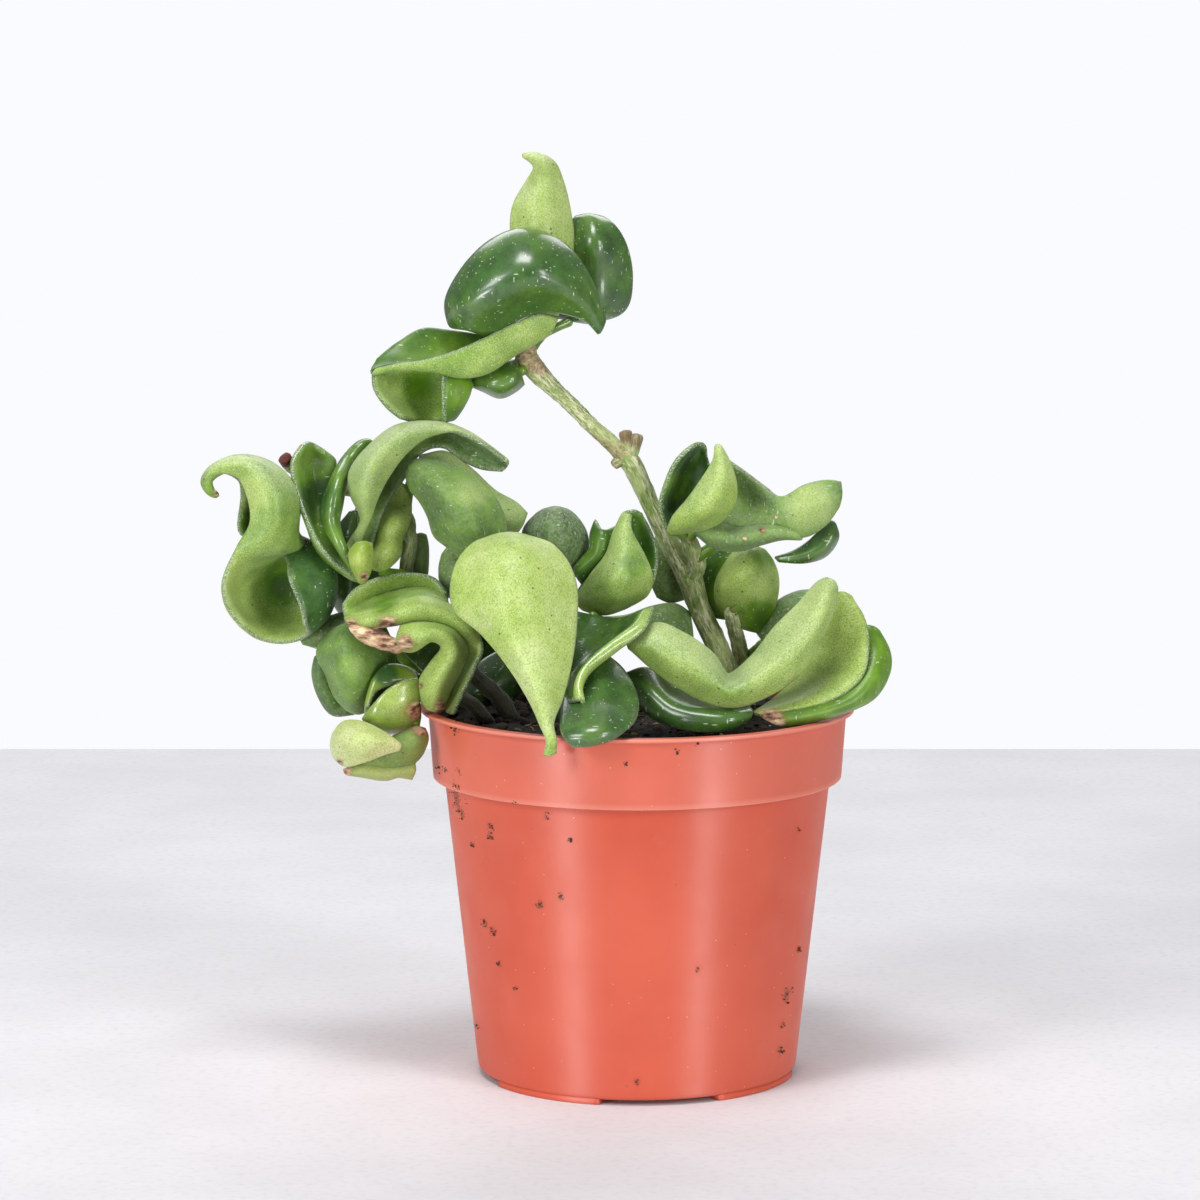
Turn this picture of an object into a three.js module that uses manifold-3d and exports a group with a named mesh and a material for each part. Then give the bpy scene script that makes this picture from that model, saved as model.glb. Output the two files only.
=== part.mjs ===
// Hindu rope plant in a round nursery pot.
// Millimetres, +Z up, X to the right, Y away from the viewer, origin under the middle of the pot.

import * as THREE from "three";
import { mergeVertices } from "three/addons/utils/BufferGeometryUtils.js";
import Module from "manifold-3d";

const wasm = await Module();
wasm.setup();

// Pot
const potHeight = 102.8;
const lipRadius = 60;
const lipThickness = 1;
const collarTopRadius = 57.8;
const collarFootRadius = 56.5;
const collarFootHeight = 83.2;
const bodyTopRadius = 53.4;
const bodyFootRadius = 44.8;
const wall = 1.1;
const floorUnderside = 1.4;
const floorTop = 2.8;
const footInnerRadius = 37;
const footCount = 4;
const footSpan = THREE.MathUtils.degToRad(46);
const firstFootAngle = THREE.MathUtils.degToRad(-60);
const restDiscRadius = 16;
const drainHoleRadius = 3.2;
const drainHoleCircle = 27;
const drainHoleCount = 6;
const potSides = 32;

// Soil
const soilLevel = 98.6;
const soilRelief = 0.9;

// Fit between pieces
const clearance = 0.3;

// Leaf blades
const leafThickness = 2;
const marginThickness = 0.9;

// Stems
const stemSides = 7;
const petioleRadius = 1.3;
const petioleSides = 6;

const potColour = 0xd96a52;
const soilColour = 0x211a16;
const stemColour = 0x8f9a68;
const darkLeafColour = 0x3c7a35;
const lightLeafColour = 0xa3c45c;
const dustyLeafColour = 0x6f8f68;

// The leaves and stems are placed by points [X, Z, depth]. X and Z give the place where a point
// is seen from the viewpoint, in the upright plane through the pot's axis. The depth is its real
// distance behind that plane.
const viewpoint = new THREE.Vector3(-10.3, -1200, 291);

function seen([x, z, depth]) {
  const scale = 1 - depth / viewpoint.y;
  return new THREE.Vector3(
    viewpoint.x + (x - viewpoint.x) * scale,
    depth,
    viewpoint.z + (z - viewpoint.z) * scale,
  );
}

function signedVolume(position, index) {
  const [a, b, c] = [new THREE.Vector3(), new THREE.Vector3(), new THREE.Vector3()];
  let volume = 0;
  for (let i = 0; i < index.count; i += 3) {
    a.fromBufferAttribute(position, index.getX(i));
    b.fromBufferAttribute(position, index.getX(i + 1));
    c.fromBufferAttribute(position, index.getX(i + 2));
    volume += a.dot(b.cross(c)) / 6;
  }
  return volume;
}

// A closed mesh as a solid, with its faces turned outwards.
function solidOf(geometry) {
  const bare = geometry.clone();
  bare.deleteAttribute("normal");
  bare.deleteAttribute("uv");
  const merged = mergeVertices(bare, 1e-4);
  const corners = [];
  for (let i = 0; i < merged.index.count; i += 3) {
    const [a, b, c] = merged.index.array.slice(i, i + 3);
    if (a !== b && b !== c && c !== a) corners.push(a, b, c);
  }
  if (signedVolume(merged.attributes.position, merged.index) < 0) {
    corners.reverse();
  }
  const triVerts = new Uint32Array(corners);
  const vertProperties = new Float32Array(merged.attributes.position.array);
  return new wasm.Manifold(new wasm.Mesh({ numProp: 3, vertProperties, triVerts }));
}

function geometryOf(solid) {
  const mesh = solid.getMesh();
  const geometry = new THREE.BufferGeometry();
  geometry.setAttribute("position", new THREE.BufferAttribute(new Float32Array(mesh.vertProperties), 3));
  geometry.setIndex(new THREE.BufferAttribute(new Uint32Array(mesh.triVerts), 1));
  geometry.computeVertexNormals();
  return geometry;
}

// The largest connected body of a solid, without the loose scraps that a cut can leave.
function mainBody(solid) {
  const bodies = solid.decompose();
  return bodies.reduce((best, body) => (body.volume() > best.volume() ? body : best));
}

function indexedGeometry(points, triangles) {
  const geometry = new THREE.BufferGeometry().setFromPoints(points);
  geometry.setIndex(triangles);
  return geometry;
}

// A round rod whose radius changes along a smooth line, closed at both ends.
function rod(points, radii, sides, steps) {
  const curve = new THREE.CatmullRomCurve3(points);
  const frames = curve.computeFrenetFrames(steps, false);
  const vertices = [];
  for (let i = 0; i <= steps; i += 1) {
    const place = (i / steps) * (radii.length - 1);
    const before = Math.min(Math.floor(place), radii.length - 2);
    const radius = THREE.MathUtils.lerp(radii[before], radii[before + 1], place - before);
    const centre = curve.getPoint(i / steps);
    const tangent = curve.getTangent(i / steps);
    const normal = frames.normals[i].clone();
    normal.addScaledVector(tangent, -normal.dot(tangent)).normalize();
    const binormal = new THREE.Vector3().crossVectors(tangent, normal);
    for (let j = 0; j < sides; j += 1) {
      const angle = (2 * Math.PI * j) / sides;
      vertices.push(centre.clone()
        .addScaledVector(normal, radius * Math.cos(angle))
        .addScaledVector(binormal, radius * Math.sin(angle)));
    }
  }
  const first = vertices.push(curve.getPoint(0)) - 1;
  const last = vertices.push(curve.getPoint(1)) - 1;
  const triangles = [];
  for (let j = 0; j < sides; j += 1) {
    const k = (j + 1) % sides;
    for (let i = 0; i < steps; i += 1) {
      const [a, b] = [i * sides + j, i * sides + k];
      triangles.push(a, b, b + sides, a, b + sides, a + sides);
    }
    triangles.push(first, k, j);
    triangles.push(last, steps * sides + j, steps * sides + k);
  }
  return solidOf(indexedGeometry(vertices, triangles));
}

// A leaf blade: a smooth surface through the net's points, with two faces that lie half the
// thickness to each side of it and come closer together at the margins. Grow thickens it and
// widens its margins by that much all round.
function blade(net, grow) {
  const along = net.length - 1;
  const across = 2 * (net[0].length - 1);
  const stations = net.map((row) => new THREE.CatmullRomCurve3(row.map(seen), false, "centripetal"));
  const grid = [];
  for (let j = 0; j <= across; j += 1) {
    const line = stations.map((station) => station.getPoint(j / across));
    const curve = new THREE.CatmullRomCurve3(line, false, "centripetal");
    grid.push(Array.from({ length: along + 1 }, (_, i) => curve.getPoint(i / along)));
  }
  const at = (i, j) => grid[THREE.MathUtils.clamp(j, 0, across)][THREE.MathUtils.clamp(i, 0, along)];
  const vertices = [];
  for (const side of [1, -1]) {
    for (let j = 0; j <= across; j += 1) {
      for (let i = 0; i <= along; i += 1) {
        const lengthwise = at(i + 1, j).clone().sub(at(i - 1, j));
        const crosswise = at(i, j + 1).clone().sub(at(i, j - 1));
        const normal = new THREE.Vector3().crossVectors(crosswise, lengthwise).normalize();
        const inward = Math.min(1, 2.5 * Math.min(j / across, 1 - j / across, 1.5 * (1 - i / along)));
        const thickness = THREE.MathUtils.lerp(marginThickness, leafThickness, inward);
        const vertex = at(i, j).clone().addScaledVector(normal, side * (thickness / 2 + grow));
        if (i === 0 || i === along) {
          vertex.addScaledVector(lengthwise.normalize(), i === 0 ? -grow : grow);
        }
        if (j === 0 || j === across) {
          vertex.addScaledVector(crosswise.normalize(), j === 0 ? -grow : grow);
        }
        vertices.push(vertex);
      }
    }
  }
  const face = (along + 1) * (across + 1);
  const index = (i, j, side) => side * face + j * (along + 1) + i;
  const triangles = [];
  for (let j = 0; j < across; j += 1) {
    for (let i = 0; i < along; i += 1) {
      const [a, b] = [index(i, j, 0), index(i, j + 1, 0)];
      const [c, d] = [index(i + 1, j + 1, 0), index(i + 1, j, 0)];
      triangles.push(a, b, c, a, c, d);
      triangles.push(face + a, face + c, face + b, face + a, face + d, face + c);
    }
  }
  const rim = [];
  for (let i = 0; i < along; i += 1) rim.push(index(i, 0, 0));
  for (let j = 0; j < across; j += 1) rim.push(index(along, j, 0));
  for (let i = along; i > 0; i -= 1) rim.push(index(i, across, 0));
  for (let j = across; j > 0; j -= 1) rim.push(index(0, j, 0));
  rim.forEach((from, k) => {
    const to = rim[(k + 1) % rim.length];
    triangles.push(from, to, to + face, from, to + face, from + face);
  });
  return solidOf(indexedGeometry(vertices, triangles));
}

// A leaf: its blades joined in one, and a petiole that runs from the stem to the net point
// [station, across] that joins names.
function leafSolid({ blades, petiole, joins }, grow) {
  const radius = petioleRadius + grow;
  const line = [...petiole, blades[0][joins[0]][joins[1]]];
  const stalk = rod(line.map(seen), [radius, radius], petioleSides, petiole.length + 1);
  return blades.map((net) => blade(net, grow)).reduce((whole, part) => whole.add(part), stalk);
}

function turned(profile) {
  const geometry = new THREE.LatheGeometry(profile.map(([r, z]) => new THREE.Vector2(r, z)), potSides);
  geometry.rotateX(Math.PI / 2);
  return solidOf(geometry);
}

// The thin wall and floor of the pot. Grow thickens it by that much all round.
function potShell(grow) {
  const outer = [
    [0, floorUnderside - grow],
    [bodyFootRadius - 1 + grow, floorUnderside - grow],
    [bodyFootRadius + grow, floorUnderside + 1],
    [bodyTopRadius + grow, collarFootHeight - grow],
    [collarFootRadius + grow, collarFootHeight - grow],
    [collarTopRadius + grow, potHeight - lipThickness - grow],
    [lipRadius + grow, potHeight - lipThickness - grow],
    [lipRadius + grow, potHeight + grow],
  ];
  const inner = [
    [collarTopRadius - wall - grow, potHeight + grow],
    [collarFootRadius - wall - grow, collarFootHeight + wall + grow],
    [bodyTopRadius - wall - grow, collarFootHeight + wall + grow],
    [bodyFootRadius - wall - grow, floorTop + grow],
    [0, floorTop + grow],
  ];
  return turned([...outer, ...inner]);
}

function uprightRod(x, y, radius, bottom, top, sides) {
  const geometry = new THREE.CylinderGeometry(radius, radius, top - bottom, sides);
  geometry.rotateX(Math.PI / 2);
  geometry.translate(x, y, (top + bottom) / 2);
  return solidOf(geometry);
}

function footArc(start) {
  const shape = new THREE.Shape();
  shape.absarc(0, 0, bodyFootRadius - 0.6, start, start + footSpan, false);
  shape.absarc(0, 0, footInnerRadius, start + footSpan, start, true);
  const geometry = new THREE.ExtrudeGeometry(shape, {
    depth: floorUnderside + 0.5,
    bevelEnabled: false,
    curveSegments: 4,
  });
  return solidOf(geometry);
}

function potSolid() {
  let pot = potShell(0);
  for (let i = 0; i < footCount; i += 1) {
    pot = pot.add(footArc(firstFootAngle + (2 * Math.PI * i) / footCount));
  }
  pot = pot.add(uprightRod(0, 0, restDiscRadius, 0, floorUnderside + 0.5, 24));
  for (let i = 0; i < drainHoleCount; i += 1) {
    const angle = (2 * Math.PI * (i + 0.5)) / drainHoleCount;
    const x = drainHoleCircle * Math.cos(angle);
    const y = drainHoleCircle * Math.sin(angle);
    pot = pot.subtract(uprightRod(x, y, drainHoleRadius, -1, floorTop + 1, 8));
  }
  return pot;
}

function soilHeight(x, y) {
  const broad = Math.sin(x / 9 + 1) * Math.cos(y / 11);
  const small = 0.5 * Math.sin(y / 5 + x / 7);
  return soilLevel + soilRelief * (broad + small);
}

// Soil as wide as the middle of the wall: the pot then cuts it to fit with its clearance.
function soilSolid() {
  const middle = wall / 2;
  const top = [collarFootRadius + 0.8 - middle, 42, 24, 0].map((radius) => [radius, soilLevel]);
  const profile = [
    [0, floorTop - middle],
    [bodyFootRadius - middle, floorTop - middle],
    [bodyTopRadius - middle, collarFootHeight + middle],
    [collarFootRadius - middle, collarFootHeight + middle],
    ...top,
  ];
  const geometry = new THREE.LatheGeometry(profile.map(([r, z]) => new THREE.Vector2(r, z)), potSides);
  geometry.rotateX(Math.PI / 2);
  const position = geometry.attributes.position;
  for (let i = 0; i < position.count; i += 1) {
    if (position.getZ(i) > soilLevel - 0.01) {
      position.setZ(i, soilHeight(position.getX(i), position.getY(i)));
    }
  }
  return solidOf(geometry);
}

const topLeaves = [
  {
    name: "leaf_top_dome",
    colour: darkLeafColour,
    petiole: [[-30, 203, 0], [-35, 206.5, 1]],
    joins: [0, 3],
    blades: [[
      [[-42, 205, -8], [-46.5, 206.3, -10.5], [-50.8, 207, -5], [-48.5, 208.5, 2]],
      [[-38, 206, -9], [-45, 213, -15], [-51.7, 215, -5], [-48, 216, 3]],
      [[-33, 209, -9], [-36.5, 219, -18], [-42.5, 228.2, -6], [-38, 227, 4]],
      [[-27, 211.3, -9], [-28, 221.5, -18], [-31, 233.3, -6], [-29, 231, 4]],
      [[-21, 211, -8], [-21, 219, -15], [-21, 229.7, -6], [-21, 227, 2]],
      [[-14.5, 209, -7], [-14, 213, -10], [-13.5, 220.3, -6], [-15, 219, -1]],
      [[-10.6, 205.4, -6], [-10.2, 205.6, -6.5], [-9.2, 207.5, -6], [-9, 209.5, -4.5]],
    ]],
  },
  {
    name: "leaf_top_long",
    colour: lightLeafColour,
    petiole: [[-30, 202.5, 0], [-27, 205, 0.5]],
    joins: [0, 2],
    blades: [[
      [[-21.5, 210, -5], [-23.5, 206.3, -5], [-24, 207, -2], [-24, 209, -1]],
      [[-27, 211, -8.5], [-28, 204, -6.5], [-29, 203.5, -2], [-29, 206.5, 0]],
      [[-33, 208.7, -10], [-33, 201.3, -8.5], [-34.5, 200.5, -3], [-35, 205, 1]],
      [[-41, 204.8, -11], [-41, 195.9, -9.5], [-43, 197, -2], [-44, 205.5, 2]],
      [[-50, 200.8, -12], [-48, 194.4, -10.5], [-50, 198, -3], [-52, 206.5, 1]],
      [[-58, 198.4, -13], [-57, 196, -12.5], [-58, 200, -6], [-59, 206.9, -2]],
      [[-66, 197.3, -14], [-66, 196.2, -14], [-66, 198.5, -10], [-65.5, 203.2, -6]],
      [[-71.5, 195.8, -13], [-73, 194.7, -13], [-73, 195.5, -11], [-71.5, 198.3, -9]],
    ]],
  },
  {
    name: "leaf_top_cup",
    colour: lightLeafColour,
    petiole: [[-30.5, 196, 2], [-38, 197, 7], [-45, 194, 4]],
    joins: [1, 3],
    blades: [[
      [[-72.5, 195, -12], [-66, 195.5, 0], [-56, 195.5, 5], [-47, 195, -3], [-53.5, 194, -11]],
      [[-72, 190.5, -13], [-66, 190, 0], [-56, 190, 4], [-46.4, 190.7, -5], [-53.6, 190, -12]],
      [[-68.7, 185.5, -12], [-63, 185.5, -1], [-56, 185.5, 2], [-48.3, 186, -5], [-53.4, 185.5, -12]],
      [[-64.5, 182.3, -10], [-60, 181, -3], [-55.5, 181, -1], [-51.2, 181.6, -5], [-53.2, 181, -10]],
    ]],
  },
  {
    name: "leaf_top_curl",
    colour: darkLeafColour,
    petiole: [[-30.5, 197, 0], [-31.5, 196, -2]],
    joins: [0, 1],
    blades: [[
      [[-33.5, 198.3, -1], [-32, 194.5, -4], [-31, 191.8, -1]],
      [[-36, 198, -1], [-35, 192.5, -7], [-33.5, 189.8, -1]],
      [[-40, 197, -1], [-39, 191.5, -7], [-37.5, 188, -1]],
      [[-43.5, 195, -1], [-43, 192, -4], [-42, 189.8, -1]],
      [[-46, 192.5, -1], [-46, 192, -1.6], [-45.7, 191.3, -1]],
    ]],
  },
  {
    name: "leaf_top_hook",
    colour: lightLeafColour,
    petiole: [[-30, 202, 1], [-28, 206, 5]],
    joins: [0, 1],
    blades: [[
      [[-22, 210, 8], [-26, 210, 4], [-30, 210, 8]],
      [[-18.5, 219, 9], [-26, 219, 3.5], [-33.5, 219, 9]],
      [[-17.2, 229, 9], [-26, 229, 3], [-34.7, 230, 9]],
      [[-18.3, 239, 9], [-26.5, 240, 3], [-34.2, 240, 9]],
      [[-20.3, 247, 8], [-25.5, 248, 3.5], [-30.3, 247, 8]],
      [[-22.5, 252, 5], [-26, 252, 2], [-28.5, 250.7, 5]],
      [[-27, 254.5, 3], [-28, 253.6, 1.7], [-29.4, 252.2, 3]],
      [[-31.3, 254.5, 2], [-31.5, 254.1, 1.8], [-31.4, 253.6, 2]],
    ]],
  },
  {
    name: "leaf_top_lobe",
    colour: darkLeafColour,
    petiole: [[-29.5, 201, 2], [-25.5, 205.5, 8]],
    joins: [0, 1],
    blades: [[
      [[-22, 209.5, 15], [-18, 209, 12], [-14, 208.5, 15]],
      [[-22, 214, 16], [-13, 213, 7], [-3.3, 212, 13]],
      [[-21, 222, 17], [-12, 222, 6], [-1.4, 221, 13]],
      [[-20, 230, 14], [-12, 230, 4], [-3.2, 230, 12]],
      [[-18, 236, 14], [-12.5, 236, 8], [-6.5, 235, 12]],
      [[-16.5, 237.6, 14], [-13.5, 237.8, 12], [-10, 237.2, 13]],
    ]],
  },
];

const leftLeaves = [
  {
    name: "leaf_left_hooked",
    colour: lightLeafColour,
    petiole: [[-85, 163.5, 7], [-85.5, 152, 9], [-87, 142, 7]],
    joins: [2, 3],
    blades: [[
      [
        [-109, 124.5, -17], [-104, 121, -13], [-98, 119.9, -10],
        [-94, 120.7, -9], [-91.3, 122.5, -12], [-91.7, 125, -18],
      ],
      [
        [-113, 130, -19], [-109.5, 129, -8], [-101, 128, 0],
        [-91, 128, 0], [-85.3, 129, -9], [-92.8, 129.5, -18.5],
      ],
      [
        [-114.2, 136, -19], [-110, 137, -8], [-101, 137, 1],
        [-90, 137, 2], [-83.7, 137, -8], [-96, 137.5, -16.5],
      ],
      [
        [-112, 143.5, -18], [-107, 143.7, -15], [-101.5, 143.6, -8],
        [-92, 144, 1], [-85, 144, -5], [-97.3, 144, -9],
      ],
      [
        [-110, 147.5, -17.5], [-103, 147, -19], [-95.7, 147, -12],
        [-92, 148, -3], [-93, 149, -3], [-104, 148, -5],
      ],
      [
        [-106.6, 153.5, -17], [-100.5, 153, -20.5], [-94, 153.5, -12],
        [-97, 153, -4], [-104, 152, -4], [-109.6, 150.5, -9],
      ],
      [
        [-107.4, 161, -16], [-101, 162, -20.5], [-94, 161, -12],
        [-97, 163, -5], [-104, 162, -4], [-109, 161, -8],
      ],
      [
        [-110, 166, -15], [-106, 169, -18], [-99.7, 168.6, -12],
        [-102, 168.5, -6], [-106, 167, -5], [-109.6, 165, -9],
      ],
      [
        [-114, 167, -15], [-113.3, 169.6, -16], [-110, 171.3, -12],
        [-111, 170, -8], [-112, 168.7, -7], [-113.8, 167.2, -9],
      ],
      [
        [-116.6, 165.2, -15], [-117.6, 167, -15.5], [-118, 167.2, -12],
        [-118, 166.5, -10], [-117.7, 165.8, -9.5], [-116.8, 165.3, -11],
      ],
      [
        [-116.5, 163.2, -14.5], [-117.6, 162.3, -15], [-119, 164, -13.3],
        [-118.8, 164, -12], [-118.2, 163.7, -11.3], [-117.2, 163.4, -12],
      ],
      [
        [-115, 160.9, -14], [-115.3, 160.6, -14.2], [-115.8, 160.7, -13.5],
        [-115.8, 161, -12.9], [-115.5, 161.2, -12.8], [-115.2, 161.1, -13],
      ],
    ]],
  },
  {
    name: "leaf_left_boat",
    colour: darkLeafColour,
    petiole: [[-75, 161, 5], [-76, 151, 2], [-76.5, 142, -5]],
    joins: [0, 1],
    blades: [[
      [[-77.5, 138.5, -11], [-76.7, 137.3, -9.5], [-75.9, 138.5, -8]],
      [[-84, 143, -13], [-82, 140.8, -8], [-79.5, 144, -3]],
      [[-88, 148, -14], [-87, 145.5, -7], [-83, 150, -1]],
      [[-91.3, 155, -14], [-89, 152, -3], [-84, 157, 0]],
      [[-94, 163, -13], [-89.5, 162, -1], [-84, 165, 0]],
      [[-94.9, 170, -10], [-90, 171, 0], [-82.7, 170.5, 0]],
      [[-92, 175, -6], [-90, 175.8, -3], [-86.3, 173.7, -1]],
    ], [
      [[-77.4, 138.6, -12], [-76.6, 137.5, -10.6], [-75.8, 138.7, -9.2]],
      [[-83, 147, -14], [-81.2, 146, -16.5], [-79.8, 145, -14]],
      [[-86.5, 153.5, -10], [-84.2, 154, -15], [-82.2, 153, -11]],
      [[-86.5, 158.5, -9], [-83.7, 159, -15], [-81.4, 158, -10]],
      [[-84, 165, -5], [-82, 165.5, -11], [-80, 165, -5]],
      [[-81, 171, 1], [-79, 170.7, -3], [-77.3, 170, 1]],
      [[-76.5, 175.3, 4], [-75.3, 175, 0], [-73.7, 174, 4]],
      [[-73, 176, 4], [-72.8, 175.7, 2.5], [-72.2, 175, 4]],
    ]],
  },
  {
    name: "leaf_left_arching",
    colour: lightLeafColour,
    petiole: [[-62.5, 148, -2], [-69, 145, -3]],
    joins: [0, 3],
    blades: [[
      [[-76.5, 141, -8], [-77.5, 141, -8.5], [-78.5, 142, -7], [-76, 141.5, -5], [-74, 141.5, -5]],
      [
        [-76.4, 146.5, -9.5], [-78, 146.7, -9.8], [-79.3, 146, -7.5],
        [-75.5, 147, -4], [-72.4, 148.4, -5],
      ],
      [
        [-73.6, 154, -13], [-74.6, 154, -13.5], [-75.4, 154.2, -9.5],
        [-73.4, 154.5, -6], [-70.6, 154.5, -6],
      ],
      [[-71.6, 160, -14], [-75, 161, -18], [-78, 161, -9], [-72.5, 160.5, -3], [-68.2, 159.5, -4]],
      [[-68.2, 166.3, -14], [-73.5, 168, -18.5], [-78.4, 166.8, -8], [-70, 167, -2], [-64, 165.5, -4]],
      [[-63.2, 172.8, -14], [-69, 174.3, -18], [-73.2, 173.8, -8], [-66, 173, -2], [-60.8, 171, -4]],
      [
        [-57.5, 177, -13.5], [-62, 178.8, -16], [-65.7, 179.6, -8],
        [-60, 177.3, -1.5], [-57.3, 173.6, -4],
      ],
      [
        [-50.5, 178.3, -12], [-52.7, 179.6, -12], [-54.6, 180.1, -7.5],
        [-53.5, 177.5, -2], [-53, 174, -5],
      ],
      [
        [-46, 177, -11], [-46.4, 177.4, -10.5], [-46.6, 177.6, -7.5],
        [-47.5, 174.5, -3.5], [-48.3, 170.6, -6],
      ],
      [
        [-41.8, 175.2, -10], [-41.8, 174.6, -9.5], [-41.8, 174.5, -7],
        [-42.2, 172, -4.5], [-43, 168.2, -7],
      ],
      [[-36, 170.2, -9], [-35.6, 170, -9], [-35.4, 169.6, -8], [-36, 168.6, -7], [-37.2, 167.6, -7.5]],
    ]],
  },
  {
    name: "leaf_left_bud",
    colour: lightLeafColour,
    petiole: [[-76.3, 143.5, -8]],
    joins: [2, 1],
    blades: [[
      [[-76.4, 136.9, -16.5], [-75.9, 136.6, -17.3], [-75.5, 136.9, -16.5]],
      [[-77.9, 139.6, -16.8], [-75.9, 139.3, -20], [-73.9, 139.6, -16.8]],
      [[-79.1, 142.6, -16.8], [-76, 142.4, -21.2], [-73.1, 142.6, -16.8]],
      [[-79.2, 145.3, -16.8], [-76, 145.4, -20.5], [-73, 145.2, -16.8]],
      [[-77, 147.8, -16.5], [-75, 148.2, -18], [-73.2, 147.9, -16.5]],
    ]],
  },
  {
    name: "leaf_left_yellow",
    colour: lightLeafColour,
    petiole: [[-63.5, 139, -2], [-66.5, 139.3, -6]],
    joins: [0, 1],
    blades: [[
      [[-73, 140.2, -9], [-71, 139.9, -10], [-69, 141, -8]],
      [[-73, 144, -7], [-69.3, 143.7, -11], [-65.4, 144.6, -5]],
      [[-72.5, 148.3, -2], [-68.5, 148.2, -7.5], [-64.6, 148.8, -5]],
      [[-72, 153.5, -1], [-67.3, 153.5, -7.5], [-62.6, 153.7, -4.5]],
      [[-71, 159, -0.5], [-66.3, 159, -1.8], [-62.1, 158.8, -1.5]],
      [[-68, 164.5, 0], [-65.8, 165, -0.5], [-63.9, 163.9, 0]],
    ]],
  },
  {
    name: "leaf_left_dusty",
    colour: dustyLeafColour,
    petiole: [[-37.5, 145.5, -9], [-41, 142, -12]],
    joins: [0, 1],
    blades: [[
      [[-46, 141, -14], [-43, 141, -16], [-40, 141, -14]],
      [[-52.5, 147, -12], [-45, 148, -22], [-36, 148, -14]],
      [[-56, 150, -11.5], [-46.5, 151.5, -24], [-36, 151.5, -14]],
      [[-57.5, 155, -11], [-49, 157.5, -25], [-37.5, 157.5, -13]],
      [[-59.7, 159.3, -10], [-53, 163, -23], [-42, 163.7, -12]],
      [[-62.3, 162.5, -9], [-57, 167, -18], [-48.7, 168.4, -11]],
      [[-63.7, 166.5, -9], [-62, 170, -11], [-58, 171.3, -9]],
    ]],
  },
  {
    name: "leaf_left_strip",
    colour: dustyLeafColour,
    petiole: [[-64, 155, 0], [-62.5, 164, 0]],
    joins: [0, 2],
    blades: [[
      [[-60, 172, -6], [-60, 171, -5], [-60, 169.5, -3]],
      [[-53, 173.3, -5], [-53, 170, -6], [-53, 166, -2]],
      [[-46, 168.9, -5], [-46.5, 164, -7], [-47, 158, -1]],
      [[-39, 162.4, -5], [-41, 156, -9], [-43, 150, -2]],
      [[-33.5, 159.2, -5], [-35, 154, -9], [-37, 149, -3]],
      [[-30.2, 156, -5], [-31.3, 153.3, -6.5], [-33, 150.5, -5]],
    ]],
  },
  {
    name: "leaf_left_shaded",
    colour: dustyLeafColour,
    petiole: [[-30.5, 133, -6], [-38, 134, -3]],
    joins: [0, 1],
    blades: [[
      [[-44, 132, -3], [-44, 136, -6], [-44, 142, -4]],
      [[-49, 131.5, -2], [-48.5, 138.5, -9], [-48, 146, -4]],
      [[-53, 134, -2], [-52.5, 140, -7], [-51.5, 147, -4]],
      [[-54.2, 139, -2], [-54.3, 141.5, -3], [-53.7, 144.5, -3]],
    ]],
  },
  {
    name: "leaf_left_small",
    colour: dustyLeafColour,
    petiole: [[-59, 130, -2], [-60.5, 134.5, 2]],
    joins: [0, 1],
    blades: [[
      [[-61.5, 138, 3], [-60, 138, 1], [-58, 138, 3]],
      [[-62.8, 142, 3], [-60.2, 142, 0], [-57.7, 142, 3]],
      [[-61.7, 147, 3], [-59.5, 147, 1], [-57.7, 147, 3]],
      [[-61, 150.3, 3], [-59.5, 150.6, 2.4], [-58.2, 150.2, 3]],
    ]],
  },
  {
    name: "leaf_left_behind",
    colour: darkLeafColour,
    petiole: [[-73.5, 160.5, 5], [-76, 157, 8]],
    joins: [0, 1],
    blades: [[
      [[-79, 156.5, 8], [-77, 157, 7], [-75, 156, 9]],
      [[-84, 150, 7], [-78.5, 150, 4], [-73, 150, 8]],
      [[-86, 141, 7], [-79, 142, 3], [-71, 142, 7]],
      [[-85, 133, 7], [-79, 133, 3], [-71, 134, 7]],
      [[-82, 128, 7], [-78.5, 127.3, 5], [-75, 129, 7]],
    ]],
  },
];

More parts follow.
